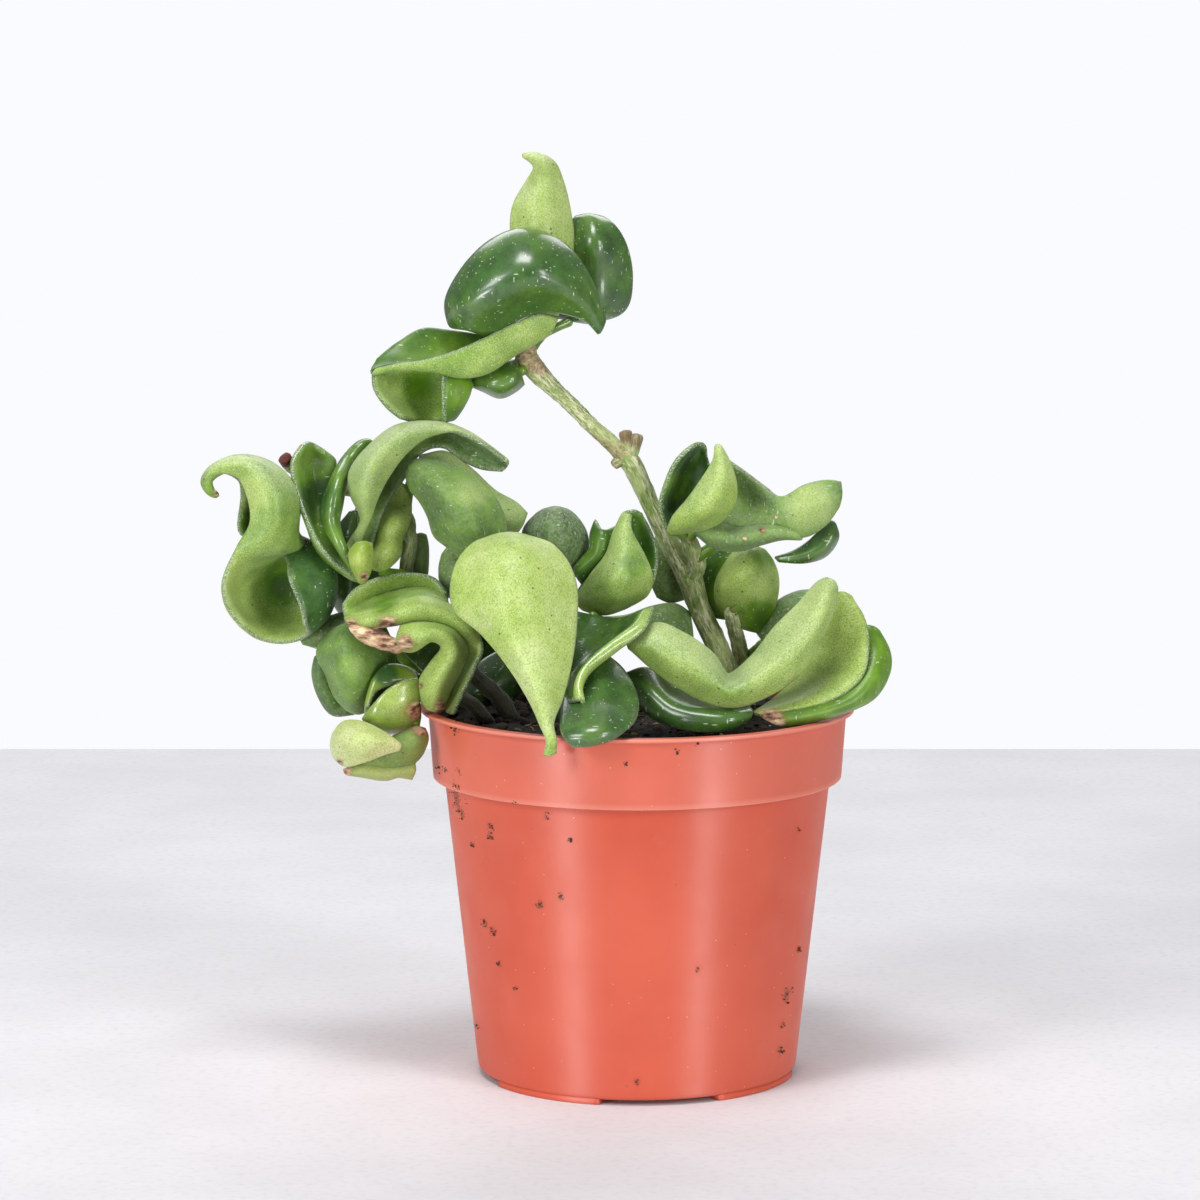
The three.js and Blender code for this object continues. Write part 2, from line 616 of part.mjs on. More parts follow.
const lowLeftLeaves = [
  {
    name: "leaf_rolled_over_rim",
    colour: lightLeafColour,
    petiole: [[-61, 133.5, -2], [-61.5, 134.3, -3.5]],
    joins: [3, 1],
    blades: [[
      [[-81.3, 131, -16], [-81, 128.5, -17], [-80.3, 126.3, -19.5]],
      [[-77.5, 135.3, -13], [-77, 131, -11], [-76, 127, -20]],
      [[-70.5, 138.5, -10], [-70, 133.5, -7], [-69, 128.8, -20]],
      [[-63, 139.4, -8], [-62, 135.5, -5], [-60, 132, -19]],
      [[-56.5, 138.2, -8], [-56, 134.8, -6], [-55, 131.7, -18.5]],
      [[-52.7, 134, -11], [-52.4, 132.3, -11.5], [-52, 130.4, -18]],
    ], [
      [[-81, 127, -19], [-80.5, 126, -20], [-79.5, 125.3, -20]],
      [[-76, 127.5, -19], [-75.3, 125.8, -23], [-73.5, 124.4, -21]],
      [[-69, 129.3, -19], [-68.3, 127.3, -24], [-67, 125, -21]],
      [[-60, 132.7, -18], [-59.5, 129.5, -25], [-59, 126.3, -22]],
      [[-52, 130.5, -18], [-52.5, 127.5, -25], [-53, 124.5, -22]],
      [[-46, 126.2, -19], [-47.2, 124, -25], [-48.8, 122, -21]],
      [[-42.7, 119, -23], [-44.5, 118.5, -21], [-47, 118.5, -18]],
      [[-45, 113, -23], [-46.5, 112.7, -19], [-48.5, 112.5, -16]],
      [[-48.5, 105.5, -22], [-50, 105.3, -18], [-52, 105, -15]],
      [[-50.8, 100, -20], [-51.7, 100, -18], [-52.7, 100.5, -16]],
    ], [
      [[-65.5, 124.7, -23], [-66.5, 121.5, -26], [-66, 118, -23]],
      [[-61, 125.6, -23], [-61, 121.8, -29], [-62, 117.7, -24]],
      [[-55, 125, -23], [-55.8, 122.8, -30], [-57, 120.8, -25]],
      [[-50, 123, -22], [-51.5, 121, -30], [-54, 119.5, -24]],
      [[-47.3, 118.5, -21], [-50.5, 117.5, -29], [-54.3, 118, -23]],
      [[-48.7, 113.2, -19], [-52, 114, -28], [-57, 114.5, -21]],
      [[-51, 108.5, -17], [-55, 108.5, -27], [-60.3, 109, -19]],
      [[-53, 103.8, -16], [-56, 104, -24], [-60, 104.6, -18]],
      [[-54.3, 101.2, -16], [-56, 101, -19], [-58, 101.8, -17]],
    ], [
      [[-80, 125.6, -21], [-79.4, 124.6, -21.5], [-78.6, 123.8, -21]],
      [[-77, 124.8, -22], [-76.8, 123, -23.5], [-76.4, 120.9, -22]],
      [[-73, 124.3, -22], [-72.5, 121.5, -24], [-71.3, 118.3, -22.5]],
      [[-70, 123, -22.5], [-69.6, 120.8, -24], [-69.2, 117.9, -22.8]],
      [[-67.5, 121.3, -23], [-66.9, 119.4, -25], [-66.6, 117.3, -23]],
      [[-64.5, 121.5, -24], [-64.3, 119.6, -25.5], [-64.6, 118, -23.5]],
    ]],
  },
  {
    name: "leaf_low_round",
    colour: dustyLeafColour,
    petiole: [[-55, 106, -7], [-61, 112, -6]],
    joins: [1, 2],
    blades: [[
      [[-84, 124, -8], [-78, 126, -11], [-70, 126, -8]],
      [[-88.5, 117.5, -8], [-80, 118.5, -18], [-67, 118, -7]],
      [[-86, 111.5, -8], [-79, 110.5, -20], [-67.5, 111, -6]],
      [[-83.5, 105, -8], [-78, 104.5, -16], [-70, 106, -6]],
      [[-80, 101.2, -8], [-77, 100.3, -10], [-74, 101.5, -8]],
    ], [
      [[-88.7, 116.5, -5], [-87.5, 116, -8], [-85.5, 115, -4]],
      [[-89.6, 111.5, -4], [-87.5, 111, -8], [-83.5, 110, -3]],
      [[-88, 105, -4], [-85.5, 105.5, -8], [-81.5, 106, -3]],
      [[-84.5, 100.2, -4], [-83, 101.5, -7], [-80, 103.5, -4]],
      [[-78, 100.3, -6], [-78.5, 101.5, -8], [-77, 103, -7]],
    ]],
  },
  {
    name: "leaf_low_glossy",
    colour: darkLeafColour,
    petiole: [[-60, 105.6, -10], [-60.5, 108, -10.5]],
    joins: [0, 1],
    blades: [[
      [
        [-60.7, 109.5, -17], [-60.7, 111, -13.5], [-60.7, 105.5, -11.5],
        [-60.5, 101, -15], [-60.5, 105, -19], [-60.7, 110.3, -20],
      ],
      [
        [-64.8, 109, -17.5], [-64.8, 113, -14], [-64.3, 106, -10.5],
        [-63, 97, -15], [-63, 103, -22], [-64, 109.8, -22],
      ],
      [
        [-69, 107.8, -19], [-69.3, 113.2, -16], [-68.7, 106, -13],
        [-67, 95.6, -16], [-67.5, 101, -24], [-69, 107.2, -24],
      ],
      [
        [-72, 106.2, -19.5], [-72.4, 109.8, -18], [-72.3, 104, -16],
        [-71, 96, -17], [-72, 99, -24], [-73.5, 102.5, -24],
      ],
      [
        [-74.2, 101.8, -20.3], [-74.6, 102, -19.6], [-75.2, 100, -19],
        [-75, 97.6, -19], [-75.5, 98, -21.5], [-76.2, 99, -21.5],
      ],
    ]],
  },
  {
    name: "leaf_low_folded_end",
    colour: lightLeafColour,
    petiole: [[-64.5, 103.8, -12], [-69, 99, -9], [-74, 94, -13], [-79, 92, -20]],
    joins: [3, 1],
    blades: [[
      [[-65.7, 91.3, -27], [-65.4, 90.8, -28], [-65.9, 90.3, -27]],
      [[-70, 94.6, -26], [-70, 92.3, -31], [-70.5, 88.7, -28]],
      [[-76, 97.8, -25], [-76, 92.5, -33], [-76, 86.5, -28]],
      [[-81, 98, -21], [-81.3, 92, -29], [-80.5, 85.4, -24]],
      [[-84, 94.5, -17], [-84.6, 91, -20], [-83.5, 87.5, -19]],
    ]],
  },
  {
    name: "leaf_low_brown",
    colour: dustyLeafColour,
    petiole: [[-62, 105, -11], [-61, 101, -13]],
    joins: [3, 0],
    blades: [[
      [[-76, 88, -21], [-76, 87, -23], [-77, 85.8, -22]],
      [[-71, 92, -20], [-71, 89, -25], [-71, 85, -22]],
      [[-66, 94.5, -20], [-66, 90.5, -26], [-66, 85.2, -22]],
      [[-61.5, 96.5, -18], [-61.5, 92, -24], [-62, 86.3, -21]],
      [[-58.7, 96, -17], [-58, 93.5, -19], [-59.5, 89, -20]],
    ], [
      [[-81.5, 84.4, -20.5], [-81.3, 84, -21], [-81, 83.7, -20]],
      [[-76, 86.3, -21.5], [-76, 84.3, -23.5], [-76, 82.8, -19.5]],
      [[-70, 85.6, -21.8], [-70, 83.5, -23.5], [-69.5, 81.9, -19.5]],
      [[-66, 85.6, -21.8], [-66, 84, -23], [-66.7, 82.8, -19.5]],
      [[-61.5, 86.6, -20.8], [-61.3, 84.5, -21.5], [-62.3, 81.9, -18.5]],
    ]],
  },
  {
    name: "leaf_low_dark",
    colour: dustyLeafColour,
    petiole: [[-61, 132, -2], [-68, 128, 0]],
    joins: [0, 1],
    blades: [[
      [[-75, 129, -2], [-75, 125, -6], [-76, 120, -2]],
      [[-81, 128.5, -2], [-81.5, 124, -6], [-82, 118, -2]],
      [[-87, 126.5, -3], [-87, 123, -6], [-87.5, 118.3, -3]],
      [[-93, 121.3, -4], [-93, 120.6, -5], [-92.5, 119.9, -4]],
    ]],
  },
];

const centreLeaves = [
  {
    name: "leaf_centre_large",
    colour: lightLeafColour,
    petiole: [[-37, 145.5, -9], [-36, 147, -13]],
    joins: [0, 1],
    blades: [[
      [[-42, 144, -20], [-35, 145.3, -18], [-27, 143.3, -20]],
      [[-45.3, 147.2, -29], [-35, 149.8, -27], [-23.5, 147, -29]],
      [[-49.7, 142.6, -33], [-35, 146, -39], [-19, 142.4, -33]],
      [[-51.6, 135.5, -35], [-35, 138.5, -45.5], [-16.7, 136, -35]],
      [[-50.6, 129, -38], [-34, 129, -49], [-16.5, 128, -38]],
      [[-43.7, 123.2, -42.5], [-31.5, 120.5, -52], [-17.2, 119.5, -43]],
      [[-35.8, 113.8, -48.5], [-28, 110.5, -56], [-18.8, 111, -48.5]],
      [[-29.8, 104.3, -53.5], [-26.2, 102.5, -58.8], [-21, 103.5, -53.5]],
      [[-26.7, 97.4, -58], [-25.2, 96.8, -60.3], [-23.2, 97.3, -58.5]],
      [[-25.2, 92.6, -60.2], [-23.8, 92.4, -61], [-22.3, 92.2, -60.4]],
      [[-26.1, 88.5, -60.6], [-24.6, 88.2, -61], [-22.4, 89, -60.6]],
    ]],
  },
  {
    name: "leaf_centre_round",
    colour: darkLeafColour,
    petiole: [[-14.5, 112, -3], [-12.5, 117, -18]],
    joins: [0, 1],
    blades: [[
      [[-14, 116.5, -28], [-11.5, 117, -29], [-9, 117, -28]],
      [[-18, 111.5, -35], [-11, 112.3, -38], [-4, 112.7, -33]],
      [[-20.5, 105, -43], [-11, 106, -47.5], [-0.5, 107, -41]],
      [[-21.5, 99, -53.5], [-11, 99, -58.5], [0.4, 101, -51]],
      [[-20.8, 94, -61.5], [-12, 94, -64], [-2, 96.3, -59]],
      [[-18, 90.8, -62.5], [-13, 91, -63.5], [-7.5, 92.5, -62]],
    ]],
  },
  {
    name: "leaf_centre_lime_edge",
    colour: darkLeafColour,
    petiole: [[-12.5, 125, -4], [-13, 126.5, -12]],
    joins: [0, 1],
    blades: [[
      [[-17, 128.8, -21], [-12, 127.7, -19], [-5, 126.8, -23], [2.3, 129.2, -33], [4.7, 129.9, -34]],
      [
        [-19.5, 123.2, -27], [-13, 122.2, -25], [-5, 121.8, -31],
        [-0.5, 124.3, -38.5], [1.7, 123.2, -39.5],
      ],
      [
        [-21, 117.5, -34], [-15.5, 117.5, -33], [-10.5, 117.7, -36],
        [-7, 119.3, -42], [-6, 117.3, -41.5],
      ],
      [
        [-21, 111, -40], [-18.5, 111, -40], [-16, 111.5, -42.5],
        [-14, 113.2, -46], [-13.3, 111.5, -44.5],
      ],
      [
        [-20.5, 106.5, -46], [-19, 106.3, -46.5], [-17.5, 106.8, -48],
        [-16.2, 108, -50], [-15.4, 107, -49],
      ],
      [
        [-19, 103.6, -50.5], [-18, 103.4, -51], [-16.8, 103.6, -52],
        [-15.5, 103.8, -53], [-14.7, 102.9, -52.7],
      ],
    ]],
  },
  {
    name: "leaf_centre_twisted",
    colour: lightLeafColour,
    petiole: [[-10.8, 130.5, -5], [-10, 130.3, -7]],
    joins: [5, 1],
    blades: [[
      [[1.2, 156.2, -6], [-0.6, 157, -7], [-3, 156.5, -9], [-2.5, 156, -11.5], [-1.6, 155.3, -11.5]],
      [[3.5, 152, -5], [-0.5, 152, -4.5], [-5.4, 151.5, -8], [-4, 151.5, -14], [-1.5, 151.6, -14]],
      [[5.3, 147, -4.5], [0, 145, -3], [-8.5, 144, -8], [-4, 144.5, -18.5], [1.9, 144.7, -15]],
      [[5.3, 140, -6], [0, 138, -3], [-13, 138, -8], [-5, 138.5, -23.5], [4.2, 138.5, -16]],
      [[2.5, 134, -8], [-3, 132.5, -5], [-16, 133, -9], [-7, 132.7, -22], [3.2, 134, -15]],
      [[-5, 130.6, -10], [-9, 129.5, -9], [-15, 129.3, -10], [-9, 128, -15], [-3.5, 130, -13]],
    ], [
      [[-11.5, 154.3, -6], [-9.5, 151.5, -10], [-5, 153, -5]],
      [[-12.8, 150.5, -7], [-10, 147.5, -12], [-6.2, 150.3, -7]],
      [[-12.8, 146.5, -8], [-11, 144.3, -13], [-9.3, 144.6, -9]],
      [[-15.5, 143, -9], [-14.5, 141, -13], [-13.3, 139.5, -10]],
      [[-17.5, 141, -10], [-17, 138.5, -13], [-15.5, 136.3, -11]],
    ]],
  },
  {
    name: "leaf_centre_dusty",
    colour: dustyLeafColour,
    petiole: [[-32, 137.5, -6], [-27, 136.5, -3]],
    joins: [0, 1],
    blades: [[
      [[-24, 138, -4], [-21, 137, -6], [-17.5, 138, -4]],
      [[-30.8, 146, -3], [-22, 146, -14], [-13.6, 146, -5]],
      [[-31.5, 151, -3], [-22.5, 151.5, -14], [-14, 150.5, -5]],
      [[-28, 155.3, -3], [-22.5, 156, -10], [-17, 155, -4]],
      [[-25, 157, -3], [-22.5, 157.4, -5], [-20, 157, -3]],
    ]],
  },
  {
    name: "leaf_centre_behind",
    colour: dustyLeafColour,
    petiole: [[-13.5, 121, -3], [-12, 122.5, 0]],
    joins: [0, 1],
    blades: [[
      [[-10, 127.3, 4], [-10, 124, 2], [-9, 121.5, 4]],
      [[-3, 127.7, 7], [-3, 124, 3], [-3, 121, 6]],
      [[4, 130.3, 9], [4, 124, 4], [4, 117.5, 8]],
      [[10.5, 131, 10], [11, 123, 5], [11, 113, 9]],
      [[14.5, 128.5, 11], [15.5, 121, 7], [15.5, 113, 11]],
    ]],
  },
];

const rightLeaves = [
  {
    name: "leaf_right_vee",
    colour: lightLeafColour,
    petiole: [[27, 108, 10], [26.5, 107.5, -4], [26, 107, -20]],
    joins: [4, 1],
    blades: [[
      [[-2.9, 119.9, -34], [-2.9, 119.5, -34.7], [-2.4, 118.9, -34]],
      [[5, 125.7, -33], [4, 119.5, -38], [3, 113.7, -34]],
      [[13, 122.7, -33], [12, 114.5, -41], [11, 107.8, -36]],
      [[20.7, 117, -31], [20, 110, -42], [18.5, 103.7, -37]],
      [[25, 111, -27], [26, 106.5, -41], [26.5, 102, -38]],
      [[32, 116.5, -28], [34, 110.5, -40], [35, 104.5, -37]],
      [[38, 124.5, -28], [42, 116.5, -39], [44.5, 110.8, -35]],
      [[44.5, 131, -26], [48.5, 124.5, -36], [51.2, 122, -32]],
      [[50, 137, -24], [52.3, 133.5, -31], [54.4, 130.5, -28]],
      [[52.5, 138, -24], [54.2, 137.2, -26.5], [55, 135.3, -26]],
    ]],
  },
  {
    name: "leaf_right_cupped",
    colour: lightLeafColour,
    petiole: [[29.5, 108, 18], [37, 112, 8], [43, 116, -4]],
    joins: [2, 0],
    blades: [[
      [[54.5, 134, -14], [57, 134.3, -16], [59, 132.9, -16]],
      [[50, 127, -13], [57, 126.3, -19], [63, 126.5, -20]],
      [[46, 118, -14], [56, 117, -19], [64, 118, -24]],
      [[43, 110, -17], [53, 109.5, -24], [62.3, 110.5, -27]],
      [[38, 104.5, -22], [47, 104.5, -29], [55, 104.3, -30]],
      [[34.5, 102, -30], [39, 101.5, -33], [43, 100.8, -33]],
      [[32, 100.5, -36], [33, 100.2, -36.5], [34, 99.9, -36]],
    ], [
      [[60, 124, -15], [64, 125, -17], [66.3, 123.6, -15]],
      [[59, 118, -16], [66, 118.5, -20], [69.6, 117.5, -16]],
      [[57, 111.5, -19], [65, 111.5, -25], [69.8, 112.5, -18]],
      [[53, 106, -24], [61, 105, -29], [66, 105.2, -23]],
      [[46, 102.5, -28], [53, 101.2, -32], [57.5, 101, -26]],
      [[38, 100.7, -32], [43, 99, -35], [47, 98, -31]],
      [[34, 99.8, -36], [36.5, 98, -36.5], [39, 97, -35]],
    ]],
  },
  {
    name: "leaf_right_low_glossy",
    colour: darkLeafColour,
    petiole: [[27.5, 105, 9], [20, 105, -6]],
    joins: [2, 0],
    blades: [[
      [[-3.5, 111.5, -26], [-2.5, 110, -27], [-1, 109, -27]],
      [[2.5, 113, -26], [2.5, 107, -33], [1, 101.5, -33]],
      [[10, 107, -25], [9.5, 101.7, -38], [8, 97, -38]],
      [[18, 104, -22], [18, 99.5, -41], [18, 95, -41]],
      [[26, 102.5, -24], [26, 99, -41], [26, 95.8, -40]],
      [[31.5, 101.3, -28], [32, 100.5, -36], [31.3, 98.8, -37]],
    ]],
  },
  {
    name: "leaf_right_round",
    colour: lightLeafColour,
    petiole: [[25.8, 128.3, 2.2]],
    joins: [1, 1],
    blades: [[
      [[25, 126.5, 10], [29, 124, 8], [34, 122.5, 10]],
      [[21.4, 132.5, 9], [29.5, 131, 2], [38, 130, 9]],
      [[22, 138, 9.5], [30, 138.5, -2], [38.8, 138, 10]],
      [[25, 143.3, 10], [31, 144, 1], [37, 143, 10]],
      [[28.5, 146.5, 10], [31.5, 147, 6], [34.5, 146, 10]],
    ], [
      [[21, 127, 13], [24, 126.5, 11], [30, 126, 8]],
      [[18.4, 134, 14], [23, 134, 10], [30, 134, 12]],
      [[18, 141, 14], [23, 141, 9], [31, 141, 11]],
      [[21, 145.8, 14], [25, 146.4, 11], [31, 146.3, 10]],
    ]],
  },
  {
    name: "leaf_right_grey",
    colour: dustyLeafColour,
    petiole: [[29.5, 115, 20], [32, 117.5, 16]],
    joins: [0, 1],
    blades: [[
      [[33, 122.5, 11], [35, 120, 8], [37, 118, 10]],
      [[38, 131, 11], [41, 126, 4], [44, 121, 9]],
      [[44, 134.3, 10], [46, 129, 4], [49, 124, 8]],
      [[50, 134.8, 10], [51, 131, 6], [53, 127, 8]],
    ]],
  },
  {
    name: "leaf_branch_upright",
    colour: lightLeafColour,
    petiole: [[13.2, 149.5, -3], [12, 150.5, -5]],
    joins: [0, 1],
    blades: [[
      [[7.8, 151.7, -8.5], [8.6, 151.2, -8], [9.8, 151, -7.5]],
      [[6.2, 157.5, -9], [10, 158, -1], [15, 157, -2]],
      [[7.8, 164.5, -9], [12.5, 165, 1], [18.5, 163, -1]],
      [[10.8, 170.8, -8], [15, 170, 0], [20, 168, 0]],
      [[15.3, 174.7, -6], [17.3, 173.7, -1], [19.3, 171.5, 0]],
      [[17.3, 175.3, -5], [18, 175, -4], [18.7, 174, -2]],
    ], [
      [[21.5, 174.5, -12], [22, 175, -12.5], [22.6, 174.3, -12]],
      [[21, 171, -14], [23, 170.3, -17], [25, 170.3, -13]],
      [[18, 166, -15], [22.5, 163.5, -20], [27, 164, -13]],
      [[13.7, 160, -15], [19, 157.5, -20], [26.7, 158.7, -12]],
      [[9.7, 155.3, -13], [14, 153.5, -16], [22, 153.2, -11]],
      [[7.8, 150.9, -9], [8.8, 150.7, -8.8], [11.5, 150.9, -8]],
    ]],
  },
  {
    name: "leaf_branch_long",
    colour: dustyLeafColour,
    petiole: [[13.5, 148.5, -3], [16, 151, -4]],
    joins: [0, 2],
    blades: [[
      [[22, 173, -7], [21, 163, -4], [20, 153.5, -6]],
      [[29, 168, -8], [28, 160, -3], [27, 151.7, -7]],
      [[35, 163.5, -9], [34, 158, -6], [33, 152.3, -9]],
      [[39.5, 160.7, -10], [39, 157, -11], [38, 152.2, -11]],
      [[46, 164, -11], [46.5, 157, -14], [45.5, 149.3, -12]],
      [[52, 165.2, -11], [52.5, 160, -14.5], [51.3, 152.3, -12]],
      [[56, 164.7, -11], [56.3, 161.5, -13], [55.3, 158, -12]],
    ], [
      [[15.3, 151.3, -8], [15.6, 151, -9], [16.2, 150.6, -8]],
      [[21, 153.3, -6.2], [21.3, 149.9, -12.5], [21, 146.5, -9]],
      [[27.5, 151.7, -7.3], [28, 148.7, -15], [28, 145.8, -10]],
      [[33.5, 152.3, -9.2], [34, 150, -15.3], [34, 147.5, -11]],
      [[38.5, 152.1, -11.2], [39.5, 150.5, -14.5], [40, 149, -11.5]],
      [[44.5, 149.8, -12], [45, 149.4, -12.8], [45.5, 149, -12]],
    ]],
  },
  {
    name: "leaf_branch_small",
    colour: darkLeafColour,
    petiole: [[15.5, 143, 3], [24, 149, 1], [34, 153, -2], [45, 153, -5]],
    joins: [0, 1],
    blades: [[
      [[52, 153, -6], [53.3, 154, -6.5], [54, 153.3, -5.5]],
      [[49.5, 150.5, -7], [53, 149.5, -10], [55.1, 149.5, -6]],
      [[46.5, 147.8, -8], [50, 145.8, -11], [52, 144.5, -7]],
      [[42.5, 145.3, -8], [45, 143.9, -10.5], [46.5, 142.6, -8]],
      [[37.8, 143.6, -8], [38.2, 143.3, -8.6], [38.8, 143, -8]],
    ]],
  },
  {
    name: "leaf_behind_stem",
    colour: dustyLeafColour,
    petiole: [[15.5, 137, 10], [15.5, 137, 14]],
    joins: [2, 2],
    blades: [[
      [[5, 150, 15], [8, 151, 14], [11, 150, 16]],
      [[3.8, 144, 15], [8, 144, 11.5], [13, 143, 16]],
      [[3.5, 138, 15], [8, 137, 11.5], [14, 137, 16]],
      [[5.5, 132.8, 16], [9, 131.2, 14], [13, 132, 17]],
    ]],
  },
];

const backLeaves = [
  {
    name: "leaf_back_left",
    colour: darkLeafColour,
    petiole: [[-25.5, 109, 30], [-31, 110, 32]],
    joins: [0, 1],
    blades: [[
      [[-33, 107, 32], [-33.5, 112, 34], [-34, 118, 33]],
      [[-41, 105.5, 34], [-41, 114, 39], [-41.5, 124, 34]],
      [[-49, 106, 31], [-48, 115, 37], [-48.5, 125, 32]],
      [[-57, 107.5, 25], [-56, 115, 30], [-56, 123, 26]],
      [[-64, 109.5, 18], [-63.5, 115, 21], [-62, 120.5, 19]],
      [[-68.5, 113, 14], [-68, 115.5, 15], [-67.5, 118, 14]],
    ]],
  },
  {
    name: "leaf_back_inner",
    colour: darkLeafColour,
    petiole: [[-25.5, 111, 29], [-30, 115, 22]],
    joins: [0, 2],
    blades: [[
      [[-30, 113, 16], [-33, 116, 12], [-36, 119, 14]],
      [[-32, 106, 12], [-38, 110, 6], [-43, 115, 12]],
      [[-38, 103, 10], [-42, 107, 4], [-46, 111, 10]],
      [[-44, 102.5, 8], [-46, 104.5, 5], [-48, 107, 8]],
    ]],
  },
  {
    name: "leaf_back_middle",
    colour: dustyLeafColour,
    petiole: [[-25, 110, 31], [-22, 113, 36]],
    joins: [0, 1],
    blades: [[
      [[-17, 117, 42], [-15, 114, 43], [-13, 112, 42]],
      [[-19, 121, 50], [-14, 116, 54], [-9.5, 112, 48]],
      [[-22, 121, 56], [-18, 116, 60], [-14, 111, 54]],
      [[-24, 118, 60], [-22, 115, 62], [-20, 112, 60]],
    ]],
  },
  {
    name: "leaf_back_right",
    colour: darkLeafColour,
    petiole: [[30, 109, 21], [32, 112, 27]],
    joins: [0, 1],
    blades: [[
      [[31, 116, 33], [34, 114.5, 35], [37, 113, 33]],
      [[34, 121, 40], [41, 117.5, 46], [47, 113, 38]],
      [[41, 122, 42], [47, 118, 48], [53, 113, 38]],
      [[50, 120, 40], [53, 117.5, 43], [56, 114, 38]],
    ]],
  },
  {
    name: "leaf_back_low",
    colour: lightLeafColour,
    petiole: [[-24, 105, 31], [-17, 106.5, 36]],
    joins: [0, 1],
    blades: [[
      [[-12, 107, 38], [-9, 108, 41], [-7, 110, 42]],
      [[-4, 104.5, 40], [-1, 107, 46], [0, 111, 45]],
      [[6, 104.5, 40], [8, 107, 46], [9, 111, 45]],
      [[15, 106, 38], [16, 107.5, 41], [17, 110, 41]],
    ]],
  },
];

const stems = [
  {
    name: "stem_main",
    rods: [
      {
        line: [
          [29.5, 97, 12], [27.5, 104, 12], [24.6, 113, 11.5], [21.7, 120, 11], [17, 130, 10],
          [14, 139, 8.5], [10.3, 145, 7.5], [7.2, 151, 7], [2.9, 160, 6], [-1.9, 170, 5],
          [-6.8, 175, 4], [-12.4, 180, 3],
          [-17.3, 185, 2], [-22.5, 190, 1], [-27.5, 195, 0], [-30.3, 199, 0], [-30, 203, 0],
        ],
        radii: [3.2, 3.2, 3.1, 3.1, 3, 3.6, 2.9, 2.7, 2.5, 2.9, 2.3, 2.1, 2.1, 2.2, 3, 3.3, 2.1],
      },
      {
        line: [[14.5, 138, 8.5], [16.3, 142, 5.5], [14.8, 147, 1], [13, 151, -3]],
        radii: [2.9, 2.7, 2.4, 2.1],
      },
      { line: [[-3, 172, 4.5], [-3, 176, 4], [-3.6, 179, 4]], radii: [2, 1.6, 2] },
      { line: [[-2, 172, 4.5], [-0.6, 175, 3.5], [0, 178, 3]], radii: [1.9, 1.6, 1.8] },
      { line: [[-3, 171, 4.5], [-5.6, 170, 3.6], [-6.8, 169, 3.2]], radii: [1.8, 1.6, 1.3] },
    ],
  },
  {
    name: "stem_right",
    rods: [{
      line: [
        [30.5, 97, 21], [30, 107, 20.5], [29, 115, 18.5], [27.5, 121.5, 12], [26.3, 126, 5],
        [25.4, 129, 1.5],
      ],
      radii: [2.5, 2.4, 2.3, 2.2, 2, 1.6],
    }],
  },
  {
    name: "stem_left",
    rods: [{
      line: [
        [-34, 95, 4], [-37, 103, 3], [-46, 112, 0], [-57, 126, -2], [-63.5, 138, -2], [-62.5, 149, -2],
        [-64, 156, 1], [-73, 161, 5], [-86, 164, 7], [-94, 168, 4], [-97.2, 171.5, 0],
      ],
      radii: [2.4, 2.4, 2.2, 2.1, 2, 1.9, 1.8, 1.8, 1.8, 1.8, 1.9],
    }],
  },
  {
    name: "stem_low_left",
    rods: [{
      line: [[-40, 96, -4], [-46, 103, -6], [-54, 106, -8], [-61, 105.5, -11], [-65.5, 103.5, -12.5]],
      radii: [2, 2, 1.9, 1.7, 1.3],
    }],
  },
  {
    name: "stem_centre",
    rods: [{
      line: [[-24, 96, 0], [-25, 112, 0], [-28, 125, -4], [-32, 137, -7], [-37.5, 146, -9]],
      radii: [2.5, 2.5, 2.3, 2.1, 1.7],
    }],
  },
  {
    name: "stem_inner",
    rods: [{
      line: [[-17, 96, 2], [-15.5, 110, -2], [-13.5, 122, -4], [-10.5, 131, -5]],
      radii: [2.1, 2.1, 2, 1.7],
    }],
  },
  {
    name: "stem_back",
    rods: [{
      line: [[-22, 97, 30], [-24.5, 105, 30], [-25.5, 112, 29.5]],
      radii: [2, 1.9, 1.6],
    }],
  },
];

function stemSolid({ rods }, grow) {
  return rods
    .map(({ line, radii }) => {
      const steps = Math.round(1.5 * (line.length - 1));
      return rod(line.map(seen), radii.map((radius) => radius + grow), stemSides, steps);
    })
    .reduce((whole, part) => whole.add(part));
}

function boxesMeet(a, b) {
  return [0, 1, 2].every((k) => a.min[k] < b.max[k] && b.min[k] < a.max[k]);
}

// Pieces in the order in which they keep their shape: a later piece that would cross an earlier
// one is cut clear of it by the clearance.
const pieces = [];

function addPiece(name, colour, roughness, solid, grown) {
  let cut = solid;
  for (const earlier of pieces) {
    if (boxesMeet(cut.boundingBox(), earlier.grown.boundingBox())) cut = cut.subtract(earlier.grown);
  }
  pieces.push({ name, colour, roughness, solid: mainBody(cut), grown });
}

addPiece("pot", potColour, 0.45, potSolid(), potShell(clearance));
for (const stem of stems) {
  addPiece(stem.name, stemColour, 0.8, stemSolid(stem, 0), stemSolid(stem, clearance));
}
const leaves = [
  ...rightLeaves, ...centreLeaves, ...lowLeftLeaves, ...leftLeaves, ...topLeaves, ...backLeaves,
];
for (const leaf of leaves) {
  addPiece(leaf.name, leaf.colour, 0.35, leafSolid(leaf, 0), leafSolid(leaf, clearance));
}
addPiece("soil", soilColour, 1, soilSolid(), soilSolid());

const plant = new THREE.Group();
for (const { name, colour, roughness, solid } of pieces) {
  const material = new THREE.MeshStandardMaterial({ color: colour, roughness, metalness: 0 });
  const mesh = new THREE.Mesh(geometryOf(solid), material);
  mesh.name = name;
  plant.add(mesh);
}

export default plant;
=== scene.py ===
# Hindu rope plant in a nursery pot: the fine pieces, how they look, the light and the camera.
import math
import random

